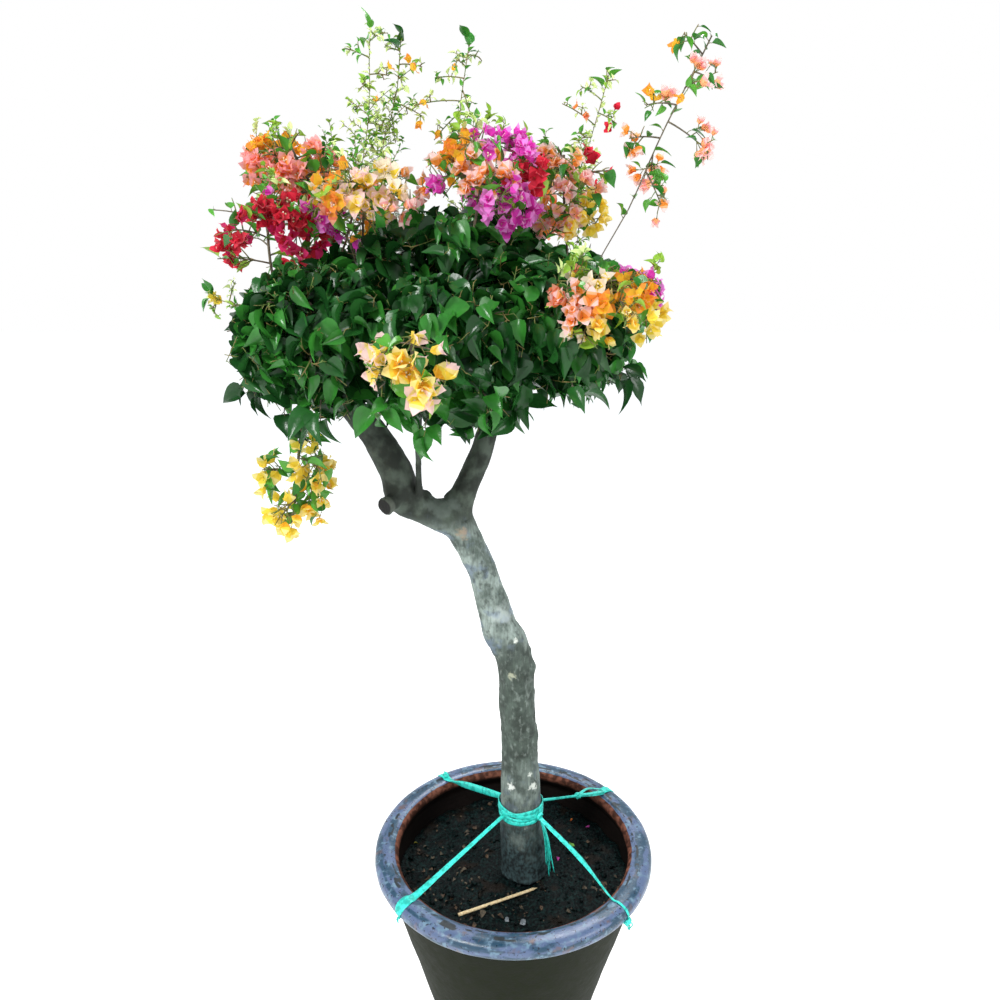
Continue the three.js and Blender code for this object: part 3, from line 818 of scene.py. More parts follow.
# The limbs, as the part's source has them


def read_off(where: Any, marks: Array, points: Array) -> Array:
    """The places on a line of points at values between their marks."""
    return np.stack([np.interp(where, marks, row) for row in points.T], axis=-1)


class Limb:
    """One wooden limb, its centre line and its radius read by shares of its length."""

    def __init__(self, points: Array, radii: Any, stops: Any = (0.0, 1.0)) -> None:
        """Keeps the close points of the line and the length up to each.

        Args:
            points: the points, one to a row.
            radii: the radius at each stop.
            stops: the shares of the length at which it is given.
        """
        self.points = points
        self.radii = radii
        self.stops = stops
        self.marks = np.concatenate([[0], np.cumsum(np.linalg.norm(np.diff(points, axis=0), axis=1))])
        self.length = float(self.marks[-1])

    def radius(self, shares: Any) -> Array:
        """The radius at shares of the length."""
        return np.interp(shares, self.stops, self.radii)

    def at(self, shares: Any) -> Array:
        """The places at shares of the length."""
        return read_off(np.atleast_1d(shares) * self.length, self.marks, self.points)

    def way(self, shares: Any) -> Array:
        """The unit ways of the line at shares of the length."""
        shares = np.atleast_1d(shares)
        return unit(self.at(np.minimum(shares + 0.01, 1)) - self.at(np.maximum(shares - 0.01, 0)))


def smooth_through(points: Array, steps: int) -> Array:
    """Close points on the centripetal Catmull-Rom spline: each stretch is the cubic whose slopes at
    its ends come from its neighbours, with knots spaced by the square root of the chords.

    Args:
        points: the points that it runs through.
        steps: how many steps each stretch has.

    Returns:
        The close points, one to a row.
    """
    ends = np.concatenate([[2 * points[0] - points[1]], points, [2 * points[-1] - points[-2]]])
    gaps = np.sqrt(np.linalg.norm(np.diff(ends, axis=0), axis=1))[:, None]
    slopes = np.diff(ends, axis=0) / gaps
    chords = (ends[2:] - ends[:-2]) / (gaps[1:] + gaps[:-1])
    bend = slopes[:-1] - chords + slopes[1:]
    t = (np.arange(steps) / steps)[None, :, None]
    start, end = points[:-1, None], points[1:, None]
    out, into = (bend[:-1] * gaps[1:-1])[:, None], (bend[1:] * gaps[1:-1])[:, None]
    curve = start * (2 * t**3 - 3 * t**2 + 1) + out * (t**3 - 2 * t**2 + t)
    curve = curve + end * (3 * t**2 - 2 * t**3) + into * (t**3 - t**2)
    return np.concatenate([curve.reshape(-1, 3), points[-1:]])


def limb_through(line: list[tuple[float, float, float, float]], steps: int = 30) -> Limb:
    """A limb through points with diameters.

    Args:
        line: for each point its place and the diameter there.
        steps: how many steps each stretch has.

    Returns:
        The limb.
    """
    table = np.array(line, float)
    limb = Limb(smooth_through(table[:, :3], steps), table[:, 3] / 2)
    limb.stops = limb.marks[::steps] / limb.length
    return limb


SEAT = 0.3
SOIL_TOP = 380.0
LIMB_LINES = {
    "trunk": [
        (21, 0, SOIL_TOP + SEAT, 92), (21, 0, 398, 86.5), (14.7, 0, 507, 81.7), (12.8, 0, 587, 75.5),
        (10.6, 0, 662, 68), (5.4, 0, 761, 66.7), (0.9, 0, 844, 66), (-11.6, 0, 884, 68),
        (-24.3, 0, 908, 66), (-44.2, 0, 972, 56), (-57, 0, 1021, 50), (-75.5, 0, 1063, 51),
        (-98.7, 0, 1111, 56),
    ],
    "bough_left": [
        (-96, 0, 1104, 50), (-126, -4, 1122, 54), (-155, -8, 1136, 52), (-190, -15, 1162, 58),
        (-199, -18, 1200, 57), (-216, -22, 1242, 52), (-238, -26, 1282, 46), (-266, -30, 1316, 41),
        (-298, -34, 1357, 39),
    ],
    "bough_right": [
        (-97, 2, 1106, 44), (-95, 5, 1142, 46), (-77, 12, 1186, 42.6), (-60, 20, 1225, 39),
        (-50, 28, 1256, 36), (-39, 36, 1291, 34),
    ],
    "shoot_upright": [
        (-161, -22, 1150, 11.6), (-161, -34, 1180, 11.4), (-158, -62, 1240, 10.8),
        (-155, -84, 1282, 11), (-150, -100, 1330, 9),
    ],
}
STUB_LINE = np.array([(-190.0, -22.0, 1165.0), (-217.0, -58.0, 1157.0)])

# The boughs inside the crown: the limb that each grows on from, and where it ends
BOUGHS = {
    "bough_left_front": ("bough_left", (-350, -80, 1445)),
    "bough_left_top": ("bough_left", (-250, -10, 1520)),
    "bough_left_back": ("bough_left", (-320, 90, 1435)),
    "bough_right_front": ("bough_right", (-80, -85, 1415)),
    "bough_right_outer": ("bough_right", (60, -60, 1420)),
    "bough_right_rear": ("bough_right", (70, 95, 1440)),
    "bough_right_inner": ("bough_right", (-80, 120, 1440)),
}


# The masses of the crown


class Scheme(Enum):
    """How a spray's bracts are coloured, from base to tip."""

    CRIMSON = (Tint.CRIMSON, Tint.CRIMSON, Tint.SCARLET)
    ROSE = (Tint.CRIMSON, Tint.ROSE, Tint.ROSE)
    MAGENTA = (Tint.MAGENTA, Tint.MAGENTA, Tint.ORCHID)
    MAUVE = (Tint.MAGENTA, Tint.ORCHID, Tint.ORCHID)
    BAND = (Tint.ORANGE, Tint.SALMON, Tint.PINK)
    CORAL = (Tint.ORANGE, Tint.CORAL, Tint.SALMON)
    PEACH = (Tint.ORANGE, Tint.PEACH, Tint.BLUSH)
    PINK = (Tint.PEACH, Tint.PINK, Tint.BLUSH)
    AMBER = (Tint.GOLD, Tint.GOLD, Tint.ORANGE)
    GOLD = (Tint.GOLD, Tint.LEMON, Tint.BUTTER)
    LEMON = (Tint.LEMON, Tint.LEMON, Tint.BUTTER)
    CREAM = (Tint.LEMON, Tint.BUTTER, Tint.BLUSH)
    IVORY = (Tint.LEMON, Tint.CREAM, Tint.CREAM)


@dataclass(frozen=True)
class LeafSize:
    """A leaf's length and width in life, the radius of the twigs that carry it and its droop."""

    length: float
    width: float
    twig: float = 1.4
    droop: float = 0.1


OLD_LEAF = LeafSize(58, 32, 2.3, 0.5)
YOUNG_LEAF = LeafSize(36, 22)
SMALL_LEAF = LeafSize(14, 8, 1.1)


@dataclass(frozen=True)
class Habit:
    """How a mass branches: the source's main twigs, then side twigs from a share of each one's
    length on, with what each one carries. A flower opens on a share of the places for one. The stem
    is slimmer than the source's. Leaves sit on every so many side twigs, and a number of them on
    the stem and on each main twig."""

    twigs: int
    rise: float
    side_twigs: int
    low: float
    reach: float
    leaves: int
    flowers: int
    leaf: LeafSize
    greens: tuple[Green, ...]
    stem_leaves: int = 0
    opened: float = 1.0
    flower: float = 18
    slim: float = 0.9
    main_leaves: int = 0
    leafy_every: int = 1


OLD_GREENS = (Green.DARK, Green.DEEP, Green.MID, Green.DARK, Green.DEEP, Green.DARK, Green.MID)
NEW_GREENS = (Green.FRESH, Green.YOUNG, Green.MID, Green.FRESH)
PALE_GREENS = (Green.YOUNG, Green.PALE, Green.FRESH, Green.PALE)
LEAFY = Habit(13, 0.35, 12, 0.2, 92, 6, 0, OLD_LEAF, OLD_GREENS)
MIXED = Habit(9, 0.7, 14, 0.25, 42, 1, 5, YOUNG_LEAF, NEW_GREENS, main_leaves=3, leafy_every=2)
SMALL = Habit(6, 0.7, 13, 0.25, 36, 1, 3, YOUNG_LEAF, NEW_GREENS, flower=25, leafy_every=2)
HANGING = Habit(6, 0.7, 13, 0.25, 36, 1, 3, LeafSize(42, 23), (Green.FRESH, Green.MID), 0, 0.9, 21, 0.55)
SHOOT = Habit(6, 0.9, 3, 0.3, 16, 3, 2, SMALL_LEAF, PALE_GREENS, 34, 0.45, 13, 0.55, 4)
BLOOMING = Habit(
    9, 0.9, 5, 0.5, 24, 1, 4, LeafSize(30, 16), (Green.MID, Green.FRESH), 9, 0.9, 17, main_leaves=2
)
SPRIG = Habit(4, 0.9, 3, 0.3, 18, 2, 1, SMALL_LEAF, PALE_GREENS, 6, 0.35, 22, 0.55, 4)
TIP = Habit(0, 0, 0, 0, 0, 4, 0, LeafSize(30, 17), (Green.DARK, Green.FRESH, Green.MID))
CREST = Habit(0, 0, 0, 0, 0, 0, 0, LeafSize(19, 11), (Green.YOUNG, Green.PALE, Green.FRESH))


@dataclass(frozen=True)
class Mass:
    """One mass: the spheroid that it fills and what it is made of. Its blossom is dealt out by
    spray: each bloom names a scheme and where it is at home, in shares of the girth to the right
    and of the half length up, and a spray takes the nearest. The gaps say how much of it stays
    bare between the heads, from -1 for nothing up, and their seed which noise they follow."""

    bough: str
    centre: tuple[float, float, float]
    half: float
    girth: float
    habit: Habit
    blooms: tuple[tuple[Scheme, float, float], ...] = ()
    gaps: float = -0.5
    gap_seed: int = 0
    axis: tuple[float, float, float] = (0, 0, 1)


S = Scheme

# The blooms of each flowering mass
CRIMSON = (
    (S.CRIMSON, -0.7, -0.5), (S.CRIMSON, 0.0, -0.6), (S.CRIMSON, 0.1, 0.2), (S.ROSE, -0.4, 0.1),
    (S.MAGENTA, 0.0, 0.85), (S.CRIMSON, 0.7, 0.3), (S.ROSE, 0.3, -0.1),
)
PINK = (
    (S.BAND, -0.6, -0.2), (S.BAND, 0.1, -0.2), (S.BAND, 0.7, -0.1), (S.AMBER, -0.5, 0.8),
    (S.ROSE, 0.7, -0.9),
)
GOLD = (
    (S.IVORY, -0.75, 0.2), (S.AMBER, -0.25, 0.3), (S.LEMON, 0.0, 0.8), (S.IVORY, 0.5, 0.4),
    (S.PEACH, 0.3, 0.95), (S.PINK, 0.75, -0.2), (S.CORAL, 0.3, -0.8), (S.MAGENTA, -0.5, -0.5),
    (S.CREAM, 0.1, 0.05), (S.CORAL, -0.15, -0.4),
)
MAGENTA = (
    (S.MAGENTA, 0.1, 0.65), (S.MAGENTA, 0.55, 0.5), (S.MAUVE, 0.05, -0.4), (S.MAGENTA, 0.5, -0.5),
    (S.MAGENTA, -0.45, -0.3), (S.AMBER, -0.45, 0.55), (S.PEACH, -0.8, 0.15), (S.PEACH, -0.1, 0.15),
    (S.CRIMSON, 0.9, 0.0),
)
PEACH = (
    (S.CRIMSON, -0.8, 0.4), (S.PEACH, -0.4, 0.0), (S.PINK, -0.3, -0.6), (S.PEACH, 0.1, 0.7),
    (S.LEMON, 0.5, -0.65), (S.CRIMSON, 0.65, 0.5), (S.PINK, 0.2, 0.0), (S.GOLD, 0.1, -0.9),
)
SIDE = (
    (S.CORAL, -0.8, 0.4), (S.PEACH, -0.5, 0.1), (S.IVORY, -0.1, 0.6), (S.IVORY, -0.7, -0.6),
    (S.AMBER, 0.2, 0.3), (S.GOLD, 0.2, -0.3), (S.MAGENTA, 0.95, 0.6), (S.LEMON, 0.6, -0.3),
)
FRONT = ((S.CREAM, -0.5, 0.4), (S.GOLD, 0.0, -0.1), (S.CREAM, 0.6, 0.3), (S.CREAM, -0.2, -0.6))
BACK_LEFT = ((S.CRIMSON, -0.5, 0.0), (S.BAND, 0.2, 0.4), (S.AMBER, 0.6, -0.3))
BACK_RIGHT = ((S.MAGENTA, -0.4, 0.2), (S.PEACH, 0.4, 0.4), (S.CORAL, 0.5, -0.5))
LEMON = ((S.LEMON, -0.5, 0.0), (S.LEMON, 0.5, 0.5), (S.GOLD, 0.5, -0.3))
TALL = ((S.PINK, 0.0, -0.5), (S.PINK, 0.3, 0.1), (S.PEACH, -0.2, -0.2), (S.AMBER, 0.0, 0.7))
BUDS = ((S.AMBER, 0.0, 0.0),)
RED_BUDS = ((S.CORAL, -0.5, 0.0), (S.CRIMSON, 0.5, 0.0))
YELLOW_BUD = ((S.LEMON, 0.0, 0.0),)
MASSES = {
    "foliage_left_front": Mass("bough_left_front", (-283, -140, 1437), 120, 142, LEAFY),
    "foliage_left_back": Mass("bough_left_back", (-290, 145, 1440), 142, 155, LEAFY),
    "foliage_centre_front": Mass("bough_right_front", (-105, -165, 1420), 125, 128, LEAFY),
    "foliage_centre_back": Mass("bough_right_inner", (-105, 180, 1430), 135, 140, LEAFY),
    "foliage_right_front": Mass("bough_right_outer", (62, -112, 1450), 114, 124, LEAFY),
    "foliage_right_back": Mass("bough_right_rear", (85, 141, 1440), 138, 150, LEAFY),
    "foliage_top": Mass("bough_right_inner", (-112, 0, 1532), 98, 205, LEAFY),
    "blossom_crimson": Mass("bough_left_front", (-373, -70, 1594), 68, 95, MIXED, CRIMSON, -0.02, 550),
    "blossom_pink": Mass("bough_left_top", (-353, 30, 1688), 56, 76, MIXED, PINK, -0.3, 607),
    "blossom_gold": Mass("bough_left_top", (-220, -95, 1630), 62, 88, MIXED, GOLD, -0.25, 768),
    "blossom_magenta": Mass("bough_right_front", (-47, -80, 1660), 82, 95, MIXED, MAGENTA, -0.42, 12),
    "blossom_peach": Mass("bough_right_rear", (70, -10, 1646), 78, 80, MIXED, PEACH, 0.18, 246),
    "blossom_side": Mass("bough_right_outer", (119, -205, 1488), 68, 86, MIXED, SIDE, -0.14, 305),
    "blossom_front": Mass("shoot_upright", (-140, -300, 1425), 58, 72, SMALL, FRONT, -0.05, 437),
    "blossom_back_left": Mass("bough_left_back", (-270, 190, 1625), 70, 115, MIXED, BACK_LEFT, 0.05, 214),
    "blossom_back_right": Mass("bough_right_inner", (16, 190, 1637), 75, 120, MIXED, BACK_RIGHT, 0.05, 215),
    "spray_hanging": Mass("bough_left", (-342, -120, 1213), 92, 62, HANGING, LEMON, axis=(-0.2, -0.1, -1)),
    "sprig_left": Mass("bough_left_front", (-430, -60, 1490), 44, 38, SPRIG, YELLOW_BUD, axis=(-1, 0, 0.2)),
    "shoot_top_left": Mass("bough_left_top", (-222, 0, 1805), 82, 44, SHOOT, BUDS, axis=(0.11, 0, 1)),
    "shoot_top_mid": Mass("bough_left_top", (-170, 55, 1790), 92, 44, SHOOT, BUDS, axis=(-0.08, 0, 1)),
    "shoot_top_centre": Mass("bough_right_inner", (-108, 30, 1790), 92, 50, SHOOT, BUDS, axis=(0.5, 0, 1)),
    "shoot_right": Mass("bough_right_rear", (108, 60, 1765), 75, 52, SHOOT, RED_BUDS, axis=(0.6, 0, 1)),
    "shoot_right_tall": Mass(
        "bough_right_outer", (221, -30, 1725), 160, 70, BLOOMING, TALL, axis=(0.42, 0, 1)
    ),
}

# The room kept round limbs and between masses, and how far leaves and blossom cross into the next
# mass and reach in their own, in shares of its spheroid
ROOM, SHY = 1.5, 6.0
LEAF_CROSSING, LEAF_REACH = 14.0, 0.99
BLOOM_CROSSING, BLOOM_REACH = 28.0, 1.03
# The size of the gaps in the blossom, and how much further the twigs go into them
GAP_SIZE, TWIG_GAP = 40.0, 0.12
# How limbs leave, arrive and rise, as shares of their span, and how they taper
LEAVE, ARRIVE, LIFT = 0.3, 0.35, 0.6
SLIM, TAPER, STEM_TIP, SHOOT_TIP = 0.82, 0.85, 2.4, 1.3
# Where main twigs end on the stem, the heights that they make for, and the lengths that are tried
TWIG_END, TWIG_LOW, TWIG_HIGH = 0.97, -0.9, 0.92
PULLS = (0.95, 0.86, 0.77, 0.68, 0.59, 0.5, 0.4)
SIDE_PULLS = (1.0, 0.8, 0.6, 0.42, 0.28)
# Leaves: sizes as shares of life, what is left of them at a twig's end, their stalk's share, tries
LEAF_SIZES, LEAF_SHRUNK, LEAF_OFF, LEAF_TRIES = (0.62, 1.12), 0.82, 0.24, 3
# Flowers: sizes as shares of life, and the reach of their stalks
FLOWER_SIZES, FLOWER_OFF = (0.86, 1.2), (6.0, 14.0)
# The hanging fringe, the sprigs low on a shoot and those on a crest: how many, where and how long
FRINGE, FRINGE_OUT, FRINGE_DROP, FRINGE_LEAVES = 8, (5.0, 25.0), (8.0, 34.0), 4
SPRIGS, SPRIG_SHARES, SPRIG_REACH, SPRIG_LEAVES = 20, (0.22, 0.68), (18.0, 46.0), 8
CRESTS, CREST_STEP, CREST_RISE, CREST_LEAVES = 7, 4, (14.0, 40.0), 6
BUD_SHARES, BUD_SIZES = (0.84, 0.92), (20.0, 17.0)
# The radii along fine sprigs, leaf stalks and flower stalks
FINE, LEAF_STALK, FLOWER_STALK = (0.7, 0.6, 0.6, 0.5, 0.4), (0.75, 0.6, 0.5), (0.7, 0.6, 0.9)
FIRST_SEED = 1000
CROWN_HEART = np.array([-114.0, 0.0, 1400.0])


@dataclass
class Leaves:
    """Leaf blades to be stamped: root, way, face and size along x, y and z of each, and its green."""

    root: Array
    way: Array
    facing: Array
    size: Array
    green: Array


@dataclass
class Flowers:
    """Flowers to be stamped: place, facing and size of each, and its scheme."""

    root: Array
    facing: Array
    size: Array
    scheme: Array


def bezier(start: Array, pull: Array, end: Array, steps: int) -> Array:
    """Points on the curve from start to end that is drawn towards pull, row after row."""
    t = np.linspace(0, 1, steps)[None, :, None]
    return start[:, None] * (1 - t) ** 2 + pull[:, None] * 2 * t * (1 - t) + end[:, None] * t**2


def along_paths(paths: Array, rows: Array, shares: Array) -> tuple[Array, Array]:
    """Places along some paths, and the unit ways there.

    Args:
        paths: the paths, as (paths, points, 3).
        rows: which path each place is on.
        shares: how far along it each place is.

    Returns:
        The places and the unit ways, one to a row.
    """
    cells = paths.shape[1] - 1
    cell = np.minimum((shares * cells).astype(int), cells - 1)
    start, end = paths[rows, cell], paths[rows, cell + 1]
    return lerp(start, end, (shares * cells - cell)[:, None]), unit(end - start)


class Crown:
    """The boughs, stems and spaces of the crown, worked out as in the part's source."""

    def __init__(self, limbs: dict[str, Limb]) -> None:
        """Seats every bough and stem and notes the room that the limbs take.

        Args:
            limbs: the trunk, the two boughs of its fork and the upright shoot.
        """
        self.limbs = dict(limbs)
        self.names = list(MASSES)
        self.stems: dict[str, Limb] = {}
        self.centres, self.halves, self.girths, self.along = (
            np.array([getattr(one, key) for one in MASSES.values()], float)
            for key in ("centre", "half", "girth", "axis")
        )
        self.along = unit(self.along)
        self.side = unit(RIGHT - self.along * self.along[:, :1])
        self.back = np.cross(self.along, self.side)
        self.weights = (self.girths + np.minimum(self.halves, self.girths)) / 2
        self.taken: list[tuple[str, Array, Array]] = []
        for name, limb in limbs.items():
            self.reserve(name, limb)
        for name in ["bough_left", "bough_right", "shoot_upright", *BOUGHS]:
            self.seat_whorl(name)

    def depth(self, index: int, points: Array) -> Array:
        """How far places lie from the middle of a mass, in shares of its spheroid.

        Args:
            index: the number of the mass.
            points: the places.

        Returns:
            One number for each place, 1 on the spheroid.
        """
        off = points - self.centres[index]
        high = off @ self.along[index] / self.halves[index]
        out = np.hypot(off @ self.side[index], off @ self.back[index]) / self.girths[index]
        return np.hypot(high, out)

    def in_space(self, index: int, points: Array, room: float = ROOM, reach: float = 1.0) -> Array:
        """Whether places lie in a mass's own space: in its spheroid, and on its side of the plane
        between it and each other mass, where the spheres of their weights balance.

        Args:
            index: the number of the mass.
            points: the places, one to a row.
            room: how far from the planes they keep.
            reach: how far they may go from the centre, in shares of the spheroid.

        Returns:
            True or False for each place.
        """
        others = np.arange(len(self.names)) != index
        apart = np.linalg.norm(self.centres[others] - self.centres[index], axis=1)
        ours = ((points - self.centres[index]) ** 2).sum(axis=-1) - self.weights[index] ** 2
        away = points[..., None, :] - self.centres[others]
        theirs = (away**2).sum(axis=-1) - self.weights[others] ** 2
        planes = ((theirs - ours[..., None]) / (2 * apart) > room).all(axis=-1)
        return (self.depth(index, points) <= reach) & planes

    def is_clear(self, owner: str, points: Array) -> Array:
        """Whether places are clear of every limb and stem but their own.

        Args:
            owner: whose places they are.
            points: the places.

        Returns:
            True or False for each place.
        """
        clear = np.ones(points.shape[:-1], bool)
        for name, places, radii in self.taken:
            if name != owner:
                near = np.linalg.norm(points[..., None, :] - places, axis=-1) < radii
                clear &= ~near.any(axis=-1)
        return clear

    def reserve(self, owner: str, limb: Limb) -> None:
        """Notes the space that a limb takes."""
        shares = np.linspace(0, 1, math.ceil(limb.length / 8) + 1)
        self.taken.append((owner, limb.at(shares), limb.radius(shares) + SHY))

    def end_of(self, name: str) -> tuple[Array, Array]:
        """Where a bough or a mass's stem ends, and the axis that it arrives along.

        Args:
            name: the bough or the mass.

        Returns:
            The place and the unit axis.
        """
        if name in BOUGHS:
            return np.array(BOUGHS[name][1], float), UP
        index = self.names.index(name)
        rise = self.halves[index] * MASSES[name].habit.rise
        return self.centres[index] + self.along[index] * rise, self.along[index]

    def seat_whorl(self, name: str) -> None:
        """Sets what grows on from a limb in a ring on its tip, in the order of the way it goes.

        Args:
            name: the limb.
        """
        parent = self.limbs[name]
        children = [key for key, (on, _) in BOUGHS.items() if on == name]
        children += [key for key, one in MASSES.items() if one.bough == name]
        ends = [self.end_of(key) for key in children]
        tip, onward = parent.at(1)[0], parent.way(1)[0]
        room = float(parent.radius(1))
        count = len(children)
        packed = math.sin(math.pi / count)
        fit = 1.0 if count == 1 else packed / (1 + packed)
        ring = 0.0 if count == 1 else room * (1 - fit)
        across, over = square_to(onward)
        bearing = [math.atan2((goal - tip) @ over, (goal - tip) @ across) for goal, _ in ends]
        order = sorted(range(count), key=lambda i: bearing[i])
        steps = ring_turns(count)
        middle = sum(bearing[i] - step for i, step in zip(order, steps)) / count
        for i, step in zip(order, steps):
            angle = middle + step
            start = tip + onward * SEAT + ring * (across * math.cos(angle) + over * math.sin(angle))
            self.grow_limb(children[i], start, onward, room * fit * SLIM, ends[i])

    def grow_limb(
        self, name: str, start: Array, onward: Array, radius: float, end: tuple[Array, Array]
    ) -> None:
        """Grows one bough or stem on the cubic that leaves along its parent and arrives along its
        axis.

        Args:
            name: the bough, or the mass whose stem it is.
            start: where it leaves its parent.
            onward: the way of its parent there.
            radius: its radius at the start.
            end: where it ends, and the axis that it arrives along.
        """
        goal, axis = end
        arrive = unit(unit(goal - start) + axis * LIFT)
        span = float(np.linalg.norm(goal - start))
        first = start + onward * span * LEAVE
        second = goal - arrive * span * ARRIVE
        t = np.linspace(0, 1, 60)[:, None]
        points = start * (1 - t) ** 3 + first * 3 * t * (1 - t) ** 2
        points = points + second * 3 * t**2 * (1 - t) + goal * t**3
        tip = radius * TAPER if name in BOUGHS else STEM_TIP
        limb = Limb(points, (radius, tip))
        self.reserve(name, limb)
        if name in MASSES and MASSES[name].habit in (SHOOT, BLOOMING, SPRIG):
            wave = np.sin(t * np.array([9.0, 7.0, 0.0]) + len(name)) * np.sin(math.pi * t) * 5
            limb = Limb(points + wave, (radius, radius * 0.5, SHOOT_TIP), (0.0, 0.3, 1.0))
        (self.limbs if name in BOUGHS else self.stems)[name] = limb


class Tuft:
    """One mass as it grows: its twigs and stalks as rods, its leaves and its flowers."""

    def __init__(self, crown: Crown, index: int) -> None:
        """Takes the mass's own space and stem from the crown.

        Args:
            crown: the crown.
            index: the number of the mass.
        """
        self.crown = crown
        self.index = index
        self.name = crown.names[index]
        self.mass = MASSES[self.name]
        self.habit = self.mass.habit
        self.stem = crown.stems[self.name]
        self.centre = crown.centres[index]
        self.rng = np.random.default_rng(FIRST_SEED + index)
        self.twigs: list[Patch] = []
        self.stalks: list[Patch] = []
        self.leaves: list[Leaves] = []
        self.flowers: list[Flowers] = []

    def grow(self) -> None:
        """Grows its stem, its main twigs, the side twigs on them, and what they carry."""
        habit = self.habit
        shares = np.linspace(0, 1, 16)
        wobble = self.rng.normal(0, 0.5, (1, 16, 3)) * np.sin(math.pi * shares)[None, :, None]
        wood = self.twigs if habit.leaf is not SMALL_LEAF else self.stalks
        path, radii = self.stem.at(shares)[None] + wobble, self.stem.radius(shares) * habit.slim
        wood.append(rods(path, radii, 8))
        feet, ends = self.main_twigs()
        middles = (feet + ends) / 2 + UP * 0.08 * np.linalg.norm(ends - feet, axis=1)[:, None]
        wood.append(rods(bezier(feet, middles, ends, 8), np.linspace(habit.leaf.twig, 0.8, 8), 5))
        main = bezier(feet, middles, ends, 5)
        sides = self.side_twigs(feet, middles, ends)
        if habit.flowers:
            sides = sides[noise(sides[:, 3], GAP_SIZE, self.mass.gap_seed) > self.mass.gaps - TWIG_GAP]
        self.stalks.append(rods(sides, np.linspace(1.1, 0.6, 5), 4))
        self.set_leaves(sides[:: habit.leafy_every], habit.leaves)
        if habit.stem_leaves:
            path = self.stem.at(np.linspace(0.3, 1, 17))[None]
            self.set_leaves(path, habit.stem_leaves, np.inf)
            self.set_leaves(path[:, -3:], TIP.leaves, np.inf, TIP)
        if habit.main_leaves:
            self.set_leaves(main, habit.main_leaves)
        if habit is SHOOT:
            self.set_sprigs(self.low_sprigs(), SPRIG_LEAVES)
        if habit.flowers:
            self.set_flowers(sides)
        if habit is HANGING:
            self.set_leaves(self.stem.at(np.linspace(0.75, 1, 3))[None], 5, np.inf)
        if habit is SPRIG:
            self.tip_buds()
        if habit is LEAFY:
            self.hang_fringe()
        if habit is MIXED:
            self.set_sprigs(self.crest(sides), CREST_LEAVES, CREST)

    def is_free(self, points: Array, room: float = ROOM) -> Array:
        """Whether all the places in each row stay in the mass's space and clear of other limbs."""
        inside = self.crown.in_space(self.index, points, room)
        return (inside & self.crown.is_clear(self.name, points)).all(axis=-1)

    def main_twigs(self) -> tuple[Array, Array]:
        """The source's side twigs: from feet up the stem towards goals on the spheroid, at golden
        turns, each as long as stays in the mass's own space.

        Returns:
            The foot and the end of each twig that fits.
        """
        crown, i = self.crown, self.index
        shares = np.arange(0, 0.95, 0.03)
        inside = self.is_free(self.stem.at(shares)[:, None])
        entry = shares[inside.argmax()] if inside.any() else shares[-1]
        k = np.arange(self.habit.twigs)
        rank = (k + 0.5) / self.habit.twigs
        feet = self.stem.at(lerp(entry, TWIG_END, rank))
        height = lerp(TWIG_LOW, TWIG_HIGH, rank)
        turn = TURN * k + dice(i + 1, 0, 4) * 2 * math.pi
        out = np.sqrt(1 - height**2) * crown.girths[i]
        goals = self.centre + crown.along[i] * (height * crown.halves[i])[:, None]
        goals = goals + crown.side[i] * (out * np.cos(turn))[:, None]
        goals = goals + crown.back[i] * (out * np.sin(turn))[:, None]
        return self.longest(feet, goals, np.zeros_like(feet), PULLS)[:2]

    def longest(
        self, feet: Array, goals: Array, bow: Array, pulls: tuple[float, ...], room: float = ROOM
    ) -> tuple[Array, Array, Array]:
        """Of the lengths from each foot towards its goal, the longest that stays free.

        Args:
            feet: where the twigs start.
            goals: where they make for.
            bow: how far the middle of each is drawn aside at full length.
            pulls: the shares of the way that are tried, from the longest.
            room: how far from the planes they keep.

        Returns:
            The feet and ends of the twigs that fit, and the numbers of those twigs.
        """
        ends = goals.copy()
        waiting = np.ones(len(feet), bool)
        for pull in pulls:
            rows = np.flatnonzero(waiting)
            trial = lerp(feet[rows], goals[rows], pull)
            middle = (feet[rows] + trial) / 2 + bow[rows] * pull
            fits = self.is_free(bezier(feet[rows], middle, trial, 8)[:, 1:], room)
            ends[rows[fits]] = trial[fits]
            waiting[rows[fits]] = False
        kept = np.flatnonzero(~waiting)
        return feet[kept], ends[kept], kept

    def side_twigs(self, feet: Array, middles: Array, ends: Array) -> Array:
        """Finer twigs round each main twig, at golden turns, shorter towards its end.

        Args:
            feet: the feet of the main twigs.
            middles: the places that draw them aside.
            ends: their ends.

        Returns:
            The points of each finer twig's path, as (twigs, 5, 3).
        """
        habit, rng = self.habit, self.rng
        m = habit.side_twigs
        count = len(feet) * m
        j = np.tile(np.arange(m), len(feet))
        u = (lerp(habit.low, 1.0, (j + 0.5) / m))[:, None]
        foot, middle, end = (np.repeat(row, m, axis=0) for row in (feet, middles, ends))
        start = foot * (1 - u) ** 2 + middle * 2 * u * (1 - u) + end * u**2
        way = unit(lerp(middle - foot, end - middle, u))
        across, over = square_to(way, 0.01)
        turn = (TURN * (j + 1) + rng.uniform(0, 2 * math.pi, len(feet)).repeat(m))[:, None]
        out = unit(start - CROWN_HEART)
        ring = across * np.cos(turn) + over * np.sin(turn)
        goal_way = unit(way * 0.55 + ring + out * 0.35 + rng.normal(0, 0.12, (count, 3)))
        reach = habit.reach * lerp(1.0, 0.7, u) * rng.uniform(0.75, 1.15, (count, 1))
        bow = UP * (reach * (0.1 if habit.flowers else -0.06))
        room = -BLOOM_CROSSING if habit.flowers else ROOM
        feet, ends, kept = self.longest(start, start + goal_way * reach, bow, SIDE_PULLS, room)
        return bezier(feet, (feet + ends) / 2 + bow[kept], ends, 5)

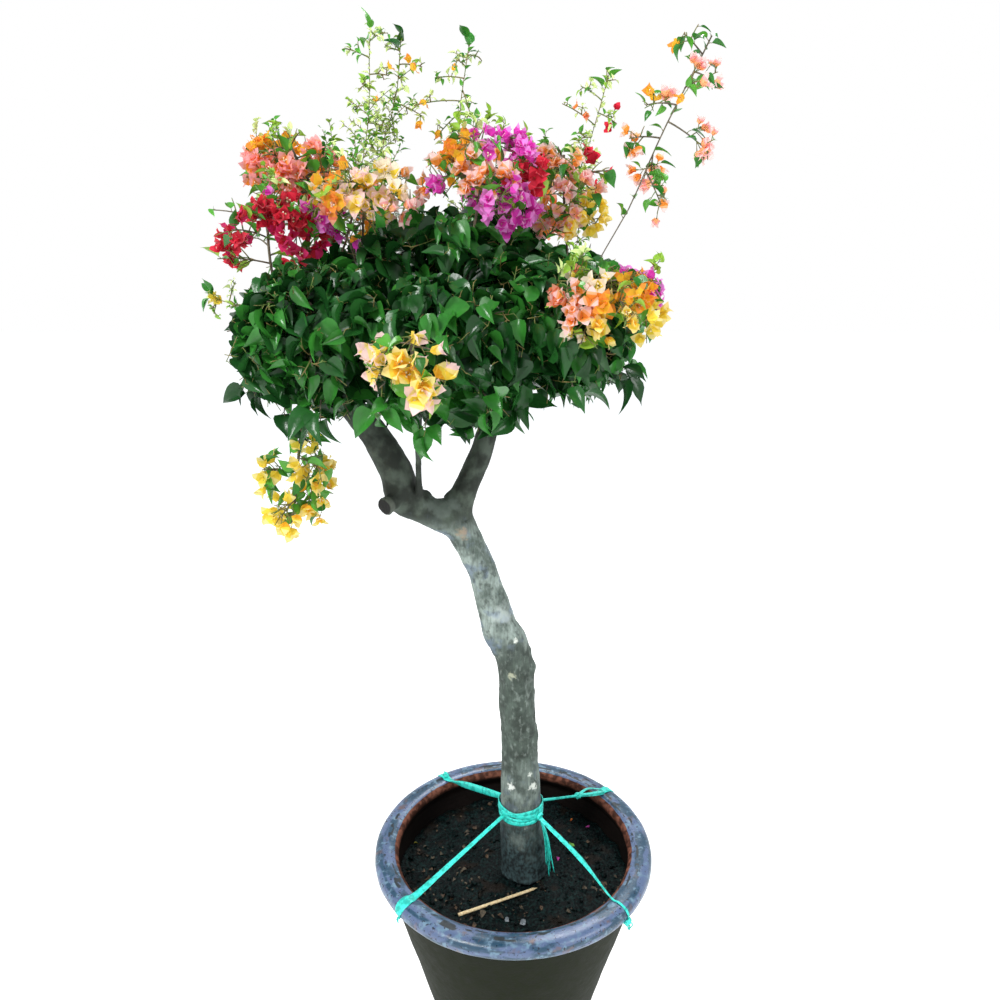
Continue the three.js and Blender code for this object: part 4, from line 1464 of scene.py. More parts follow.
    def tip_buds(self) -> None:
        """Sets two half-open yellow flowers at the tip of a sprig's stem."""
        facing = unit(self.stem.way(BUD_SHARES) + self.rng.normal(0, 0.3, (2, 3)))
        scheme = places_in(Scheme, [S.LEMON, S.LEMON])
        self.flowers.append(Flowers(self.stem.at(BUD_SHARES), facing, np.array(BUD_SIZES), scheme))

    def crest(self, sides: Array) -> Array:
        """Paths of sprigs that rise past the blossom from some of the highest side twigs.

        Args:
            sides: the side twigs' paths.

        Returns:
            The paths, as (sprigs, 5, 3).
        """
        high = sides[:, -1, 2].argsort()[-CRESTS * CREST_STEP :: CREST_STEP]
        feet = sides[high, -1]
        rise = self.rng.uniform(*CREST_RISE, (len(feet), 1))
        rise = rise * unit(UP + self.rng.normal(0, 0.35, (len(feet), 3)))
        return bezier(feet, feet + rise * 0.5 + self.rng.normal(0, 2.5, rise.shape), feet + rise, 5)

    def low_sprigs(self) -> Array:
        """Paths of fine sprigs low on a shoot's stem, at golden turns, out and up.

        Returns:
            The paths, as (sprigs, 5, 3).
        """
        turn = TURN * np.arange(SPRIGS) + self.rng.uniform(0, 6)
        ring = level_way(turn) + UP * 0.7
        feet = self.stem.at(np.linspace(*SPRIG_SHARES, SPRIGS))
        reach = self.rng.uniform(*SPRIG_REACH, (SPRIGS, 1))
        return bezier(feet, feet + ring * reach * 0.4 + UP * 4, feet + ring * reach, 5)

    def set_sprigs(self, paths: Array, number: int, habit: Habit | None = None) -> None:
        """Sets fine sprigs, each with a number of tiny leaves, a haze of them together."""
        self.stalks.append(rods(paths, FINE, 3))
        self.set_leaves(paths, number, np.inf, habit)

    def hang_fringe(self) -> None:
        """Hangs thin leafy twigs from the mass's underside, which make the crown's edge ragged."""
        crown, i, rng = self.crown, self.index, self.rng
        ring = level_way(TURN * np.arange(FRINGE) + i)
        low = rng.uniform(-0.75, -0.35, (FRINGE, 1))
        feet = self.centre + ring * np.sqrt(1 - low**2) * crown.girths[i] * 0.8
        feet += UP * low * crown.halves[i] * 0.8
        ends = feet + ring * rng.uniform(*FRINGE_OUT, (FRINGE, 1))
        ends -= UP * rng.uniform(*FRINGE_DROP, (FRINGE, 1))
        others = [crown.in_space(k, ends) for k in range(len(crown.names)) if k != i]
        free = ~np.any(others, axis=0) & crown.in_space(i, feet)
        paths = bezier(feet, (feet + ends) / 2 + ring * 14, ends, 5)[free]
        self.twigs.append(rods(paths, np.linspace(1.3, 0.6, 5), 4))
        self.set_leaves(paths, FRINGE_LEAVES, np.inf)

    def set_leaves(
        self, paths: Array, number: int, crossing: float = LEAF_CROSSING, habit: Habit | None = None
    ) -> None:
        """Sets leaves along twigs at golden turns, each on a stalk, drooping outwards from the heart
        of the crown with its face turned out, and keeps those that stay in the mass's space.

        Args:
            paths: the twigs, as (twigs, points, 3).
            number: how many leaves a twig has.
            crossing: how far they may reach over into a neighbour, or infinite for anywhere.
            habit: whose leaves they are, where not the mass's own.
        """
        habit, rng = habit or self.habit, self.rng
        twig = np.repeat(np.arange(len(paths)), number)
        i = np.tile(np.arange(number), len(paths))
        v = lerp(0.12, 1.0, (i + 0.75) / number)
        at, ahead = along_paths(paths, twig, v)
        across, over = square_to(ahead, 0.013)
        size = habit.leaf.length * rng.uniform(*LEAF_SIZES, len(at)) * lerp(1.0, LEAF_SHRUNK, v)
        turn = (TURN * 1.9 * (i + 1) + 2.4 * twig)[:, None]
        picked = (dice(self.index + 1, twig, 0) * len(habit.greens)).astype(int)
        tone = places_in(Green, habit.greens)[picked]
        droop = habit.leaf.droop
        rows = np.arange(len(at))
        for _ in range(LEAF_TRIES):
            if not len(rows):
                break
            spin = turn[rows] + rng.normal(0, 0.5, (len(rows), 1))
            stalk_way = ahead[rows] * 0.5 + across[rows] * np.cos(spin) + over[rows] * np.sin(spin)
            stalk_way = unit(stalk_way + UP * 0.15)
            root = at[rows] + stalk_way * (size[rows] * LEAF_OFF)[:, None]
            out = unit(root - CROWN_HEART)
            swing = rng.uniform(-0.5, 0.5, (len(rows), 3))
            way = unit(out * 0.4 - UP * droop + swing * 2.0 + stalk_way * (1.15 - droop))
            facing = unit(out * 0.8 + UP * 0.8 + swing[:, ::-1] * 1.9)
            marks = size[rows, None, None] * np.array([0.1, 0.5, 0.95])[None, :, None]
            net = root[:, None] + way[:, None] * marks
            fits = self.crown.is_clear(self.name, net).all(axis=-1)
            if np.isfinite(crossing):
                fits &= self.crown.in_space(self.index, net, -crossing, LEAF_REACH).all(axis=-1)
            kept, rows = rows[fits], rows[~fits]
            long = size[kept]
            form = np.stack([long * habit.leaf.width / habit.leaf.length, long, long], axis=1)
            form[:, 0] *= rng.uniform(0.85, 1.12, len(kept))
            self.leaves.append(Leaves(root[fits], way[fits], facing[fits], form, tone[kept]))
            bend = at[kept] + stalk_way[fits] * (long * 0.14)[:, None] + UP * 1.5
            stalk = bezier(at[kept], bend, root[fits] + way[fits] * 0.6, 3)
            self.stalks.append(rods(stalk, LEAF_STALK, 3))

    def set_flowers(self, paths: Array) -> None:
        """Sets flowers towards the ends of twigs, facing out and up on short stalks. Each spray has
        the scheme of the nearest of the mass's blooms.

        Args:
            paths: the twigs, as (twigs, 5, 3).
        """
        mass, rng = self.mass, self.rng
        number = mass.habit.flowers
        twig = np.repeat(np.arange(len(paths)), number)
        i = np.tile(np.arange(number), len(paths))
        at, ahead = along_paths(paths, twig, 1 - 0.4 * (i / number))
        out = unit(at - self.centre)
        stalk_way = unit(ahead * 0.4 + out * 0.6 + UP * 0.25 + rng.normal(0, 0.6, at.shape))
        reach = rng.uniform(*FLOWER_OFF, (len(at), 1))
        size = mass.habit.flower * rng.uniform(*FLOWER_SIZES, len(at))
        root = at + stalk_way * reach
        facing = unit(stalk_way + out * 0.35 + UP * 0.15 + rng.normal(0, 0.3, at.shape))
        marks = size[:, None, None] * np.array([0.1, 0.8])[None, :, None]
        net = root[:, None] + facing[:, None] * marks
        inside = self.crown.depth(self.index, net) <= BLOOM_REACH
        kept = (inside & self.crown.is_clear(self.name, net)).all(axis=-1)
        kept &= rng.uniform(0, 1, len(at)) < mass.habit.opened
        kept &= noise(at, GAP_SIZE, mass.gap_seed) > mass.gaps
        tips = (paths[:, -1] - self.centre) / [mass.girth, 1, mass.half]
        tips = tips[:, [0, 2]] + rng.normal(0, 0.07, (len(paths), 2))
        homes = np.array([home for _, *home in mass.blooms])
        nearest = np.linalg.norm(tips[:, None] - homes, axis=-1).argmin(axis=1)
        scheme = places_in(Scheme, (bloom for bloom, *_ in mass.blooms))[nearest][twig]
        self.flowers.append(Flowers(root[kept], facing[kept], size[kept], scheme[kept]))
        stalk = bezier(at, at + stalk_way * (reach * 0.5) + UP, root + facing, 3)[kept]
        self.stalks.append(rods(stalk, FLOWER_STALK, 3))


def leaf_form(rows: int, columns: int, droop: float, fold: float, wave: float, lean: float) -> Patch:
    """A leaf laid flat, one long and one wide: an egg-shaped outline drawn out to a drip tip, folded
    up from its midrib, bent down along its length and waved at its margins.

    Half its width is the sine of pi times the length's share raised to a power that puts the widest
    place at 0.33, narrowed past 0.62 into the tip. Its slope turns down evenly, by the droop in all.

    Args:
        rows: the steps along it.
        columns: the points across it, an odd number.
        droop: how far its slope turns, in radians.
        fold: the rise of its halves, in radians.
        wave: the height of the waves at its margins.
        lean: how far its tip swings sideways.

    Returns:
        The form, one slot throughout.
    """
    t = np.linspace(0, 1, rows + 2)[1:-1] ** 1.05
    half = 0.5 * np.sin(math.pi * t**0.62) ** 0.8 * (1 - 0.62 * np.clip((t - 0.62) / 0.38, 0, 1))
    s = np.linspace(-1, 1, columns)
    slope = -droop * t
    step = np.diff(np.concatenate([[0], t]))
    y, z = np.cumsum(step * np.cos(slope)), np.cumsum(step * np.sin(slope))
    x = half[:, None] * s + lean * (t**2)[:, None]
    rise = half[:, None] * np.abs(s) * math.tan(fold) * 0.7
    ripple = wave * np.sin(t * 9)[:, None] * s**2 * np.sign(s + 0.2)
    grid = np.stack([x, np.broadcast_to(y[:, None], x.shape), z[:, None] + rise + ripple], axis=-1)
    end = 1 - t[-1]
    tip = np.array([[lean, y[-1] + end * math.cos(droop), z[-1] - end * math.sin(droop)]])
    return skinned(grid[None], np.zeros((1, 3)), tip, False)


def flower_form(opening: float, cup: float, rng: Rng) -> Patch:
    """A flower's three bracts, one long, round the way that it faces, which is its z.

    Each bract starts beside the axis and leans out more and more, by the opening at its tip. Its
    outline is the sine of pi times a power of the length's share, pointed, and its margins stand in
    towards the axis by the cup. Its slots are 0 at the base, 1 in the middle and 2 at the tip.

    Args:
        opening: the lean of the tip from the axis, in radians.
        cup: how far the margins stand in, in radians.
        rng: seeded draws for the small differences between the bracts.

    Returns:
        The form.
    """
    bracts = []
    rows, columns = 4, 5
    for j in range(3):
        t = np.linspace(0, 1, rows + 2)[1:-1]
        half = 0.38 * np.sin(math.pi * t**0.72) ** 0.8 * rng.uniform(0.85, 1.15)
        lean = lerp(0.15, opening * rng.uniform(0.85, 1.15), t**0.7)
        step = np.diff(np.concatenate([[0], t]))
        radial = 0.03 + np.cumsum(step * np.sin(lean))
        high = np.cumsum(step * np.cos(lean))
        s = np.linspace(-1, 1, columns)
        inward = half[:, None] * s**2 * math.sin(cup)
        x = half[:, None] * s * math.cos(cup)
        y = radial[:, None] - inward * np.cos(lean)[:, None]
        z = high[:, None] + inward * np.sin(lean)[:, None]
        z = z + 0.085 * np.sin(t * 12 + rng.uniform(0, 6))[:, None] * s**2 * np.sign(s)
        end, tip_lean = 1 - t[-1], lean[-1] + 0.25
        tip = [[0, radial[-1] + end * math.sin(tip_lean), high[-1] + end * math.cos(tip_lean)]]
        grid = np.stack([x, y, z], axis=-1)[None]
        bract = skinned(grid, np.array([[0, 0.01, 0]]), np.array(tip), False)
        turn = j * 2 * math.pi / 3 + rng.uniform(-0.12, 0.12)
        spin = [[math.cos(turn), math.sin(turn), 0], [-math.sin(turn), math.cos(turn), 0], [0, 0, 1]]
        bract.points = bract.points @ np.array(spin)
        bract.quad_slots = np.repeat([0, 1, 2], columns - 1)
        bract.triangle_slots = np.repeat([0, 2], columns - 1)
        bracts.append(bract)
    return joined(bracts)


def tube_form() -> Patch:
    """The three true flowers in a flower's heart: thin tubes, each open in a small five-rayed star.

    Returns:
        The form, of size one.
    """
    parts = []
    for j in range(3):
        turn = (j + 0.5) * 2 * math.pi / 3
        way = unit(np.array([math.sin(turn) * 0.32, math.cos(turn) * 0.32, 1.0]))
        path = np.stack([way * 0.05, way * 0.25, way * 0.42])[None]
        parts.append(rods(path, np.array([[0.02, 0.032, 0.034]]), 3))
        across = unit(np.cross(way, RIGHT))
        over = np.cross(way, across)
        angles = ring_turns(10)[:, None]
        reach = np.where(np.arange(10) % 2, 0.035, 0.1)[:, None]
        star = way * 0.45 + reach * (across * np.cos(angles) + over * np.sin(angles))
        fan = np.stack([np.arange(10), (np.arange(10) + 1) % 10, np.full(10, 10)], axis=1)
        parts.append(Patch(np.concatenate([star, [way * 0.43]]), triangles=fan))
    return joined(parts)


def dealt(forms: list[Patch], slots: Array, *blades: Array) -> list[Patch]:
    """Copies of the forms, the blades being dealt out among them in turn.

    Args:
        forms: the forms.
        slots: for each blade, the material slots that stand for the form's own.
        blades: the place, way, facing and size of each, as stamped takes them.

    Returns:
        One patch for each form that has any.
    """
    pick = np.arange(len(slots)) % len(forms)
    used = [(form, pick == k) for k, form in enumerate(forms) if (pick == k).any()]
    return [stamped(form, *(row[mine] for row in blades), slots[mine]) for form, mine in used]


@dataclass
class CrownWork:
    """Makes the crown's meshes: boughs, twigs, stalks, leaves, bracts and small flowers. Each group
    of masses is one piece."""

    crown: Crown
    leaf_groups: dict[str, tuple[str, tuple[str, ...]]]
    bract_groups: dict[str, tuple[str, tuple[str, ...]]]
    leaf_forms: int = 8
    flower_forms: int = 9

    def build(self) -> None:
        """Grows every mass and joins what it has grown, each kind apart, into pieces."""
        tufts = {name: Tuft(self.crown, i) for i, name in enumerate(self.crown.names)}
        for tuft in tufts.values():
            tuft.grow()
        rng = np.random.default_rng(7)
        old = [
            leaf_form(6, 5, rng.uniform(0.3, 1.5), rng.uniform(0.1, 0.7), 0.025, rng.uniform(-0.1, 0.1))
            for _ in range(self.leaf_forms)
        ]
        greens = [LeafSkin(one).material() for one in Green]
        for name, (slot, masses) in self.leaf_groups.items():
            stands = [one for one in masses if MASSES[one].habit in (LEAFY, SHOOT, SPRIG)]
            leaves = [row for one in masses for row in tufts[one].leaves]
            make_piece(name, self.leaf_patch(leaves, old), greens, stands)
        forms = [
            flower_form(rng.uniform(0.5, 1.35), rng.uniform(-0.2, 0.6), rng)
            for _ in range(self.flower_forms)
        ]
        tints = [BractPaper(one).material() for one in Tint]
        for name, (slot, masses) in self.bract_groups.items():
            flowers = [row for one in masses for row in tufts[one].flowers]
            stands = [one for one in masses if MASSES[one].habit in (MIXED, SMALL, HANGING, BLOOMING)]
            make_piece(name, self.bract_patch(flowers, forms, rng), tints, stands)
        flowers = [row for one in tufts.values() for row in one.flowers]
        cream = PlainSkin("flower_tube_cream", "#f4efd8", "#e9dfae", 3).material()
        make_piece("small_flowers", self.tube_patch(flowers), [cream])
        self.build_wood(tufts)

    def leaf_patch(self, rows: list[Leaves], forms: list[Patch]) -> Patch:
        """All the leaves of some masses, dealt out among the forms.

        Args:
            rows: the leaves of the masses.
            forms: the forms of a leaf.

        Returns:
            The patch.
        """
        return joined(
            patch for one in rows
            for patch in dealt(forms, one.green[:, None], one.root, one.way, one.facing, one.size)
        )

    def bract_patch(self, rows: list[Flowers], forms: list[Patch], rng: Rng) -> Patch:
        """All the bracts of some masses, dealt out among the forms and coloured by their schemes.

        Args:
            rows: the flowers of the masses.
            forms: the forms of a flower.
            rng: seeded draws for the turn of each.

        Returns:
            The patch.
        """
        table = np.array([places_in(Tint, one.value) for one in Scheme])
        patches = []
        for one in rows:
            across = unit(np.cross(one.facing, rng.normal(0, 1, one.facing.shape)))
            size = np.repeat(one.size[:, None], 3, axis=1)
            patches += dealt(forms, table[one.scheme], one.root, across, one.facing, size)
        return joined(patches)

    def tube_patch(self, rows: list[Flowers]) -> Patch:
        """The small true flowers in every third flower's heart.

        Args:
            rows: the flowers of all the masses.

        Returns:
            The patch.
        """
        patches = []
        for one in rows:
            root, facing, size = one.root[::3], one.facing[::3], np.repeat(one.size[::3, None], 3, axis=1)
            plain = np.zeros((len(root), 1), int)
            patches += dealt([tube_form()], plain, root, square_to(facing, 0.01)[0], facing, size)
        return joined(patches)

    def build_wood(self, tufts: dict[str, Tuft]) -> None:
        """The boughs inside the crown with their relief, the woody twigs, and the green stalks.

        Args:
            tufts: the masses as they have grown.
        """
        bark = PlainSkin("young_bark", "#4a4436", "#6d6552", 6, 0.85).material()
        boughs = []
        for name in BOUGHS:
            limb = self.crown.limbs[name]
            shares = np.linspace(0, 1, 48)
            path = limb.at(shares)
            section = round_section(limb.radius(shares) * (1 + 0.18 * np.exp(-shares * 14)), 20)
            patch = swept(path, section)
            axis = np.concatenate([np.repeat(path, 20, axis=0), path[:1], path[-1:]])
            patch.points += unit(patch.points - axis) * rough(patch.points, 18, 5)[:, None] * 0.8
            boughs.append(patch)
        make_piece("boughs_in_crown", joined(boughs), [bark], list(BOUGHS))
        twigs = joined(patch for one in tufts.values() for patch in one.twigs)
        make_piece("twigs", twigs, [bark])
        green = PlainSkin("green_stalk", "#5b7a34", "#7c6a3a", 9, 0.6).material()
        for piece, flowering in (("stalks_leafy", False), ("stalks_flowering", True)):
            some = [one for one in tufts.values() if bool(one.habit.flowers) == flowering]
            stalks = joined(patch for one in some for patch in one.stalks)
            make_piece(piece, stalks, [green])


# Trunk and fork


@dataclass(frozen=True)
class Burr:
    """A swelling or a scar on the bark: its place, how far it spreads, and its rise or depth."""

    at: tuple[float, float, float]
    spread: float
    rise: float


@dataclass
class Wood:
    """The trunk, its fork, the sawn stub and the upright shoot, as one skin with the bark's relief."""

    lobes: int = 5
    lobe_depth: float = 0.02
    flare: float = 60
    voxel: float = 2.6
    fissure_depth: float = 0.5
    burrs: tuple[Burr, ...] = (
        Burr((34, -4, 832), 11, 4.5),
        Burr((42, -6, 692), 14, 3.5),
        Burr((-146, 0, 1170), 10, 11),
        Burr((-116, 4, 1152), 13, 9),
        Burr((-44, -12, 890), 20, 3),
        Burr((-52, 14, 1160), 16, -2.5),
        Burr((18, -38, 452), 18, 2.5),
        Burr((52, -14, 420), 18, 4),
        Burr((-214, -30, 1196), 16, -2),
    )
    rings: tuple[tuple[float, float], ...] = (
        (862, 1.4), (655, -0.9), (778, 0.9), (545, 0.8), (930, -0.8), (705, 1.2),
    )
    shoot_place: tuple[float, float] = (-163, -60)
    shoot_room: float = 45
    shoot_low: float = 1185
    stub_along: tuple[float, ...] = (0, 0.5, 0.8, 0.92, 1.0, 1.0, 0.9, 0.7)
    stub_radii: tuple[float, ...] = (15, 14, 14, 15.5, 14.5, 9.5, 8, 6)
    limbs: dict[str, Limb] = field(
        default_factory=lambda: {name: limb_through(line) for name, line in LIMB_LINES.items()}
    )

    def limb_patch(self, name: str, sides: int) -> Patch:
        """One limb as a closed skin. The trunk's foot swells in lobes that die out up the flare.

        Args:
            name: the limb.
            sides: how many sides its section has.

        Returns:
            The skin.
        """
        limb = self.limbs[name]
        shares = np.linspace(0, 1, int(limb.length / 4))
        section = round_section(limb.radius(shares), sides)
        if name == "trunk":
            turns = ring_turns(sides)
            fade = np.clip(1 - shares * limb.length / self.flare, 0, 1)[:, None]
            section = section * (1 + self.lobe_depth * fade * np.cos(self.lobes * turns))[..., None]
        return swept(limb.at(shares), section)

    def stub_patch(self) -> Patch:
        """The sawn stub: out along its line, over a worn lip and back into a hollow.

        Returns:
            The skin.
        """
        start, end = STUB_LINE
        way = unit(end - start)
        reach = float(np.linalg.norm(end - start))
        path = start + way * (np.array(self.stub_along) * reach)[:, None]
        section = round_section(np.array(self.stub_radii), 28)
        return swept(path, section, np.tile(UP, (len(path), 1)))

    def build(self) -> None:
        """Fuses the limbs, raises the bark, less of it on the thin shoot, and makes the piece."""
        parts = [self.limb_patch(name, 40) for name in ("trunk", "bough_left", "bough_right")]
        parts += [self.limb_patch("shoot_upright", 20), self.stub_patch()]
        skin, normals = fused(joined(parts), self.voxel, 3)
        points = skin.points
        stretched = points * np.array([1, 1, 0.14])
        relief = rough(stretched, 4.5, 11) * self.fissure_depth + rough(points, 42, 17) * 1.4
        relief += np.minimum(noise(stretched, 7, 23) + 0.45, 0) * 0.9
        for burr in self.burrs:
            away = np.linalg.norm(points - burr.at, axis=1) / burr.spread
            relief += burr.rise * np.exp(-away**2)
        for height, rise in self.rings:
            wander = height + noise(points, 30, 31) * 5
            relief += rise * np.exp(-(((points[:, 2] - wander) / 4) ** 2))
        slim = np.linalg.norm(points[:, :2] - self.shoot_place, axis=1) < self.shoot_room
        relief[slim & (points[:, 2] > self.shoot_low)] *= 0.3
        skin.points = points + normals * relief[:, None]
        skin.points[:, 2] = np.maximum(skin.points[:, 2], SOIL_TOP - 4)
        make_piece("wood", skin, [Bark().material()], list(self.limbs))


# Pot and soil


@dataclass
class Pot:
    """The round pot: a cone with a rolled rim, turned by hand, so nothing on it runs quite true."""

    foot: float = 140
    shoulder: float = 250
    neck: float = 414
    wall: float = 14
    floor: float = 18
    roll_radius: float = 247
    roll_level: float = 434
    roll_width: float = 23
    roll_rise: float = 16
    roll_turns: tuple[float, float] = (-62, 238)
    squareness: float = 2.5
    columns: int = 400

    def inner_radius(self, height: Any) -> Any:
        """The radius of the inner wall at a height."""
        return lerp(self.foot, self.shoulder, height / self.neck) - self.wall

    def build(self) -> None:
        """Turns the wall: up the outside, round the roll by a squared ellipse, down the inside."""
        outside = np.linspace(0, 1, 44)
        foot_r, foot_z = np.array([60, 134, 138.5]), np.array([0, 0, 1.6])
        out_r, out_z = lerp(self.foot, self.shoulder, outside), lerp(5.0, self.neck, outside)
        degrees = np.linspace(*self.roll_turns, 40)
        turns = np.radians(degrees)
        squared = np.stack([np.cos(turns), np.sin(turns)])
        squared = np.sign(squared) * np.abs(squared) ** (2 / self.squareness)
        roll_r = self.roll_radius + self.roll_width * squared[0]
        roll_z = self.roll_level + self.roll_rise * squared[1]
        in_z = np.concatenate([np.linspace(410, 372, 12), np.linspace(330, self.floor, 5)])
        in_r = self.inner_radius(in_z)
        radii = np.concatenate([foot_r, out_r, roll_r, in_r])
        heights = np.concatenate([foot_z, out_z, roll_z, in_z])
        rings = level_way(ring_turns(self.columns)) * radii[:, None, None]
        rings = rings + UP * heights[:, None, None]
        patch = skinned(rings[None], np.zeros((1, 3)), UP[None] * self.floor)
        sizes = [len(foot_r) + len(out_r), len(roll_r), len(in_r)]
        before, after = np.zeros(sizes[0]), np.ones(sizes[2])
        lip = 1 + np.clip((degrees - 124) / 12, 0, 1)
        patch.marks["zone"] = self.ringed(np.concatenate([before, lip, after * 2]), (0, 2))
        # How far down the inside the near-black inner wall has come: soil stain and painted shade
        stained_and_shaded = np.clip((degrees - 166) / 26, 0, 1)
        patch.marks["stain_and_shade"] = self.ringed(np.concatenate([before, stained_and_shaded, after]), (0, 1))
        patch.marks["scar"] = self.scars(patch.points, degrees, sizes)
        ring = self.ringed(np.arange(sum(sizes)), (0, 0))
        run = np.stack([patch.points[:, 0] / 46, patch.points[:, 1] / 46, ring * 0.3], axis=1)
        patch.marks["streak"] = 0.5 + rough(run, 1.0, 71, 4) * 0.6
        points = patch.points
        out = unit(points * np.array([1, 1, 0]))
        wander = noise(points, 130, 3) * 1.3 + noise(points, 28, 5) * 0.5
        wander += 0.35 * np.sin(points[:, 2] / 9 * 2 * math.pi) * (points[:, 2] < self.neck)
        wander *= np.clip(points[:, 2] / 30, 0, 1)
        points += out * wander[:, None]
        points[:, 2] += noise(points, 60, 9) * 0.9 * (points[:, 2] > self.neck + 6)
        make_piece("pot_glazed", patch, [StonewareGlaze().material()], ["pot"])

    def ringed(self, values: Array, ends: tuple[float, float]) -> Array:
        """One value for each ring and for the two points on the axis, given to the vertices."""
        return np.concatenate([np.repeat(values, self.columns), ends])

    def scars(self, points: Array, degrees: Array, sizes: list[int]) -> Array:
        """Dark scratches that run round the rim, most of them near its inner shoulder.

        Args:
            points: the wall's vertices.
            degrees: the angle of each of the roll's rings on its section.
            sizes: how many rings the outside, the roll and the inside have.

        Returns:
            A mark from 0 to 1 for each vertex.
        """
        rings = sum(sizes)
        turn = np.arctan2(points[: rings * self.columns, 1], points[: rings * self.columns, 0])
        ring = np.repeat(np.arange(rings), self.columns)
        where = level_way(turn) * 4.5 + UP * (ring * 0.8)[:, None]
        near = np.exp(-(((degrees - 98) / 22) ** 2)) + 0.45 * np.exp(-(((degrees - 20) / 30) ** 2))
        near = np.concatenate([np.zeros(sizes[0]), near, np.zeros(sizes[2])])
        marks = np.clip((rough(where, 0.5, 61, 3) - 0.1) * 3, 0, 1)
        return np.concatenate([marks, [0, 0]]) * self.ringed(near, (0, 0))


# The finishes of what lies on the soil
LITTER = (
    ("dry_leaf", "#2a221a", "#5a4530", 7),
    ("wood_chip", "#3a3227", "#5a4e3b", 3),
    ("yellow_leaf", "#a5952c", "#7d7a2a", 5),
    ("fallen_green_leaf", "#4f8f2c", "#7bb044", 6),
    ("fallen_bract", "#8d1d6d", "#b03490", 5),
    ("orange_bract", "#b5541c", "#c9772e", 5),
    ("pale_chip", "#8b9297", "#6a7176", 4),
)
# Scraps seen on the soil: the place and length of each, and its finish
SEEN_LITTER = (
    (119, 81, 30, 3), (-205, 76, 16, 2), (-135, -71, 18, 0), (-52, 40, 16, 0), (165, 125, 10, 4),
    (90, 33, 12, 4), (130, 156, 10, 5), (-10, -135, 16, 6), (11, -138, 18, 6), (170, -30, 14, 0),
)


@dataclass
class Soil:
    """The potting soil: a crumbled top, clods, and the litter that lies on it."""

    top: float = SOIL_TOP
    depth: float = 40
    sink: float = 5
    level: float = 75
    columns: int = 200
    clods: int = 900
    litter: int = 190

    def height(self, x: Array, y: Array) -> Array:
        """The top's height: level round the trunk, a little lower in a ring, with crumbs.

        Args:
            x: how far right each place is.
            y: how far back it is.

        Returns:
            The height at each place.
        """
        radius = np.hypot(x, y)
        ring = np.interp(radius, [self.level, 155, 231], [0, -self.sink, 0])
        flat = np.stack([x, y, np.zeros_like(x)], axis=-1)
        return self.top + ring + rough(flat, 34, 41, 4) * 4.2 + rough(flat, 7, 43, 2) * 1.5 - 2.4

    def build(self, pot: Pot) -> None:
        """Makes the soil, its clods and its litter.

        Args:
            pot: the pot that it fills.
        """
        edge = pot.inner_radius(self.top) - 0.6
        rings = np.concatenate([[edge - 6], np.linspace(4, edge, 72)[::-1]])
        points = level_way(ring_turns(self.columns)) * rings[:, None, None]
        points[..., 2] = self.height(points[..., 0], points[..., 1])
        points[0, :, 2] = self.top - self.depth
        skin = skinned(points[None], UP[None] * (self.top - self.depth), UP[None] * self.top)
        rng = np.random.default_rng(31)
        top = joined([skin, self.clod_patch(edge, rng)])
        make_piece("soil_top", top, [PottingSoil().material()], ["soil"])
        litter = self.litter_patch(edge, rng)
        make_piece("litter", litter, [PlainSkin(*look).material() for look in LITTER])

    def clod_patch(self, edge: float, rng: Rng) -> Patch:
        """Lumps of soil, most of them small, sunk a third into the top.

        Args:
            edge: the radius of the soil.
            rng: seeded draws.

        Returns:
            The lumps as one patch.
        """
        radius = np.sqrt(rng.uniform(0.05, 1, self.clods)) * (edge - 8)
        turn = rng.uniform(0, 2 * math.pi, self.clods)
        x, y = radius * np.cos(turn), radius * np.sin(turn)
        size = rng.gamma(2.2, 1.0, (self.clods, 1)).clip(1.2, 6) * rng.uniform(0.7, 1.2, (self.clods, 3))
        at = np.stack([x, y, self.height(x, y) + size[:, 2] * 0.25], axis=1)
        way, facing = (unit(rng.normal(0, 1, (self.clods, 3))) for _ in range(2))
        return stamped(lump_form(), at, way, facing, size, np.zeros((self.clods, 1), int))

    def litter_patch(self, edge: float, rng: Rng) -> Patch:
        """Curled scraps strewn on the top, and those that the photograph shows, each in its place.

        Args:
            edge: the radius of the soil.
            rng: seeded draws.

        Returns:
            The scraps as one patch.
        """
        form = leaf_form(3, 3, 0.9, 0.5, 0.04, 0.05)
        radius = np.sqrt(rng.uniform(0.08, 1, self.litter)) * (edge - 12)
        turn = rng.normal(3.9, 1.25, self.litter)
        x, y = radius * np.cos(turn), radius * np.sin(turn)
        length = rng.gamma(3, 3, self.litter).clip(4, 24)
        slots = rng.integers(0, 2, self.litter)
        for row, seen in zip((x, y, length, slots), np.array(SEEN_LITTER).T):
            row[: len(seen)] = seen
        at = np.stack([x, y, self.height(x, y) + 2.4], axis=1)
        way = unit(level_way(turn * 7) + UP * rng.uniform(-0.1, 0.3, (self.litter, 1)))
        facing = unit(rng.normal(0, 0.35, (self.litter, 3)) + UP)
        size = np.stack([length * rng.uniform(0.35, 0.7, self.litter), length, length], axis=1)
        return stamped(form, at, way, facing, size, slots[:, None])


def lump_form() -> Patch:
    """A small ball of facets, roughened, of radius one.

    Returns:
        The form.
    """
    rows, sides = 4, 7
    tilt = np.linspace(-1, 1, rows + 2)[1:-1] * math.pi / 2 * 0.98
    path = np.stack([np.zeros(rows), np.zeros(rows), np.sin(tilt)], axis=1)
    ball = swept(path, round_section(np.cos(tilt), sides))
    ball.points += noise(ball.points, 0.6, 77)[:, None] * 0.22 * unit(ball.points)
    return ball


# Ties and cane


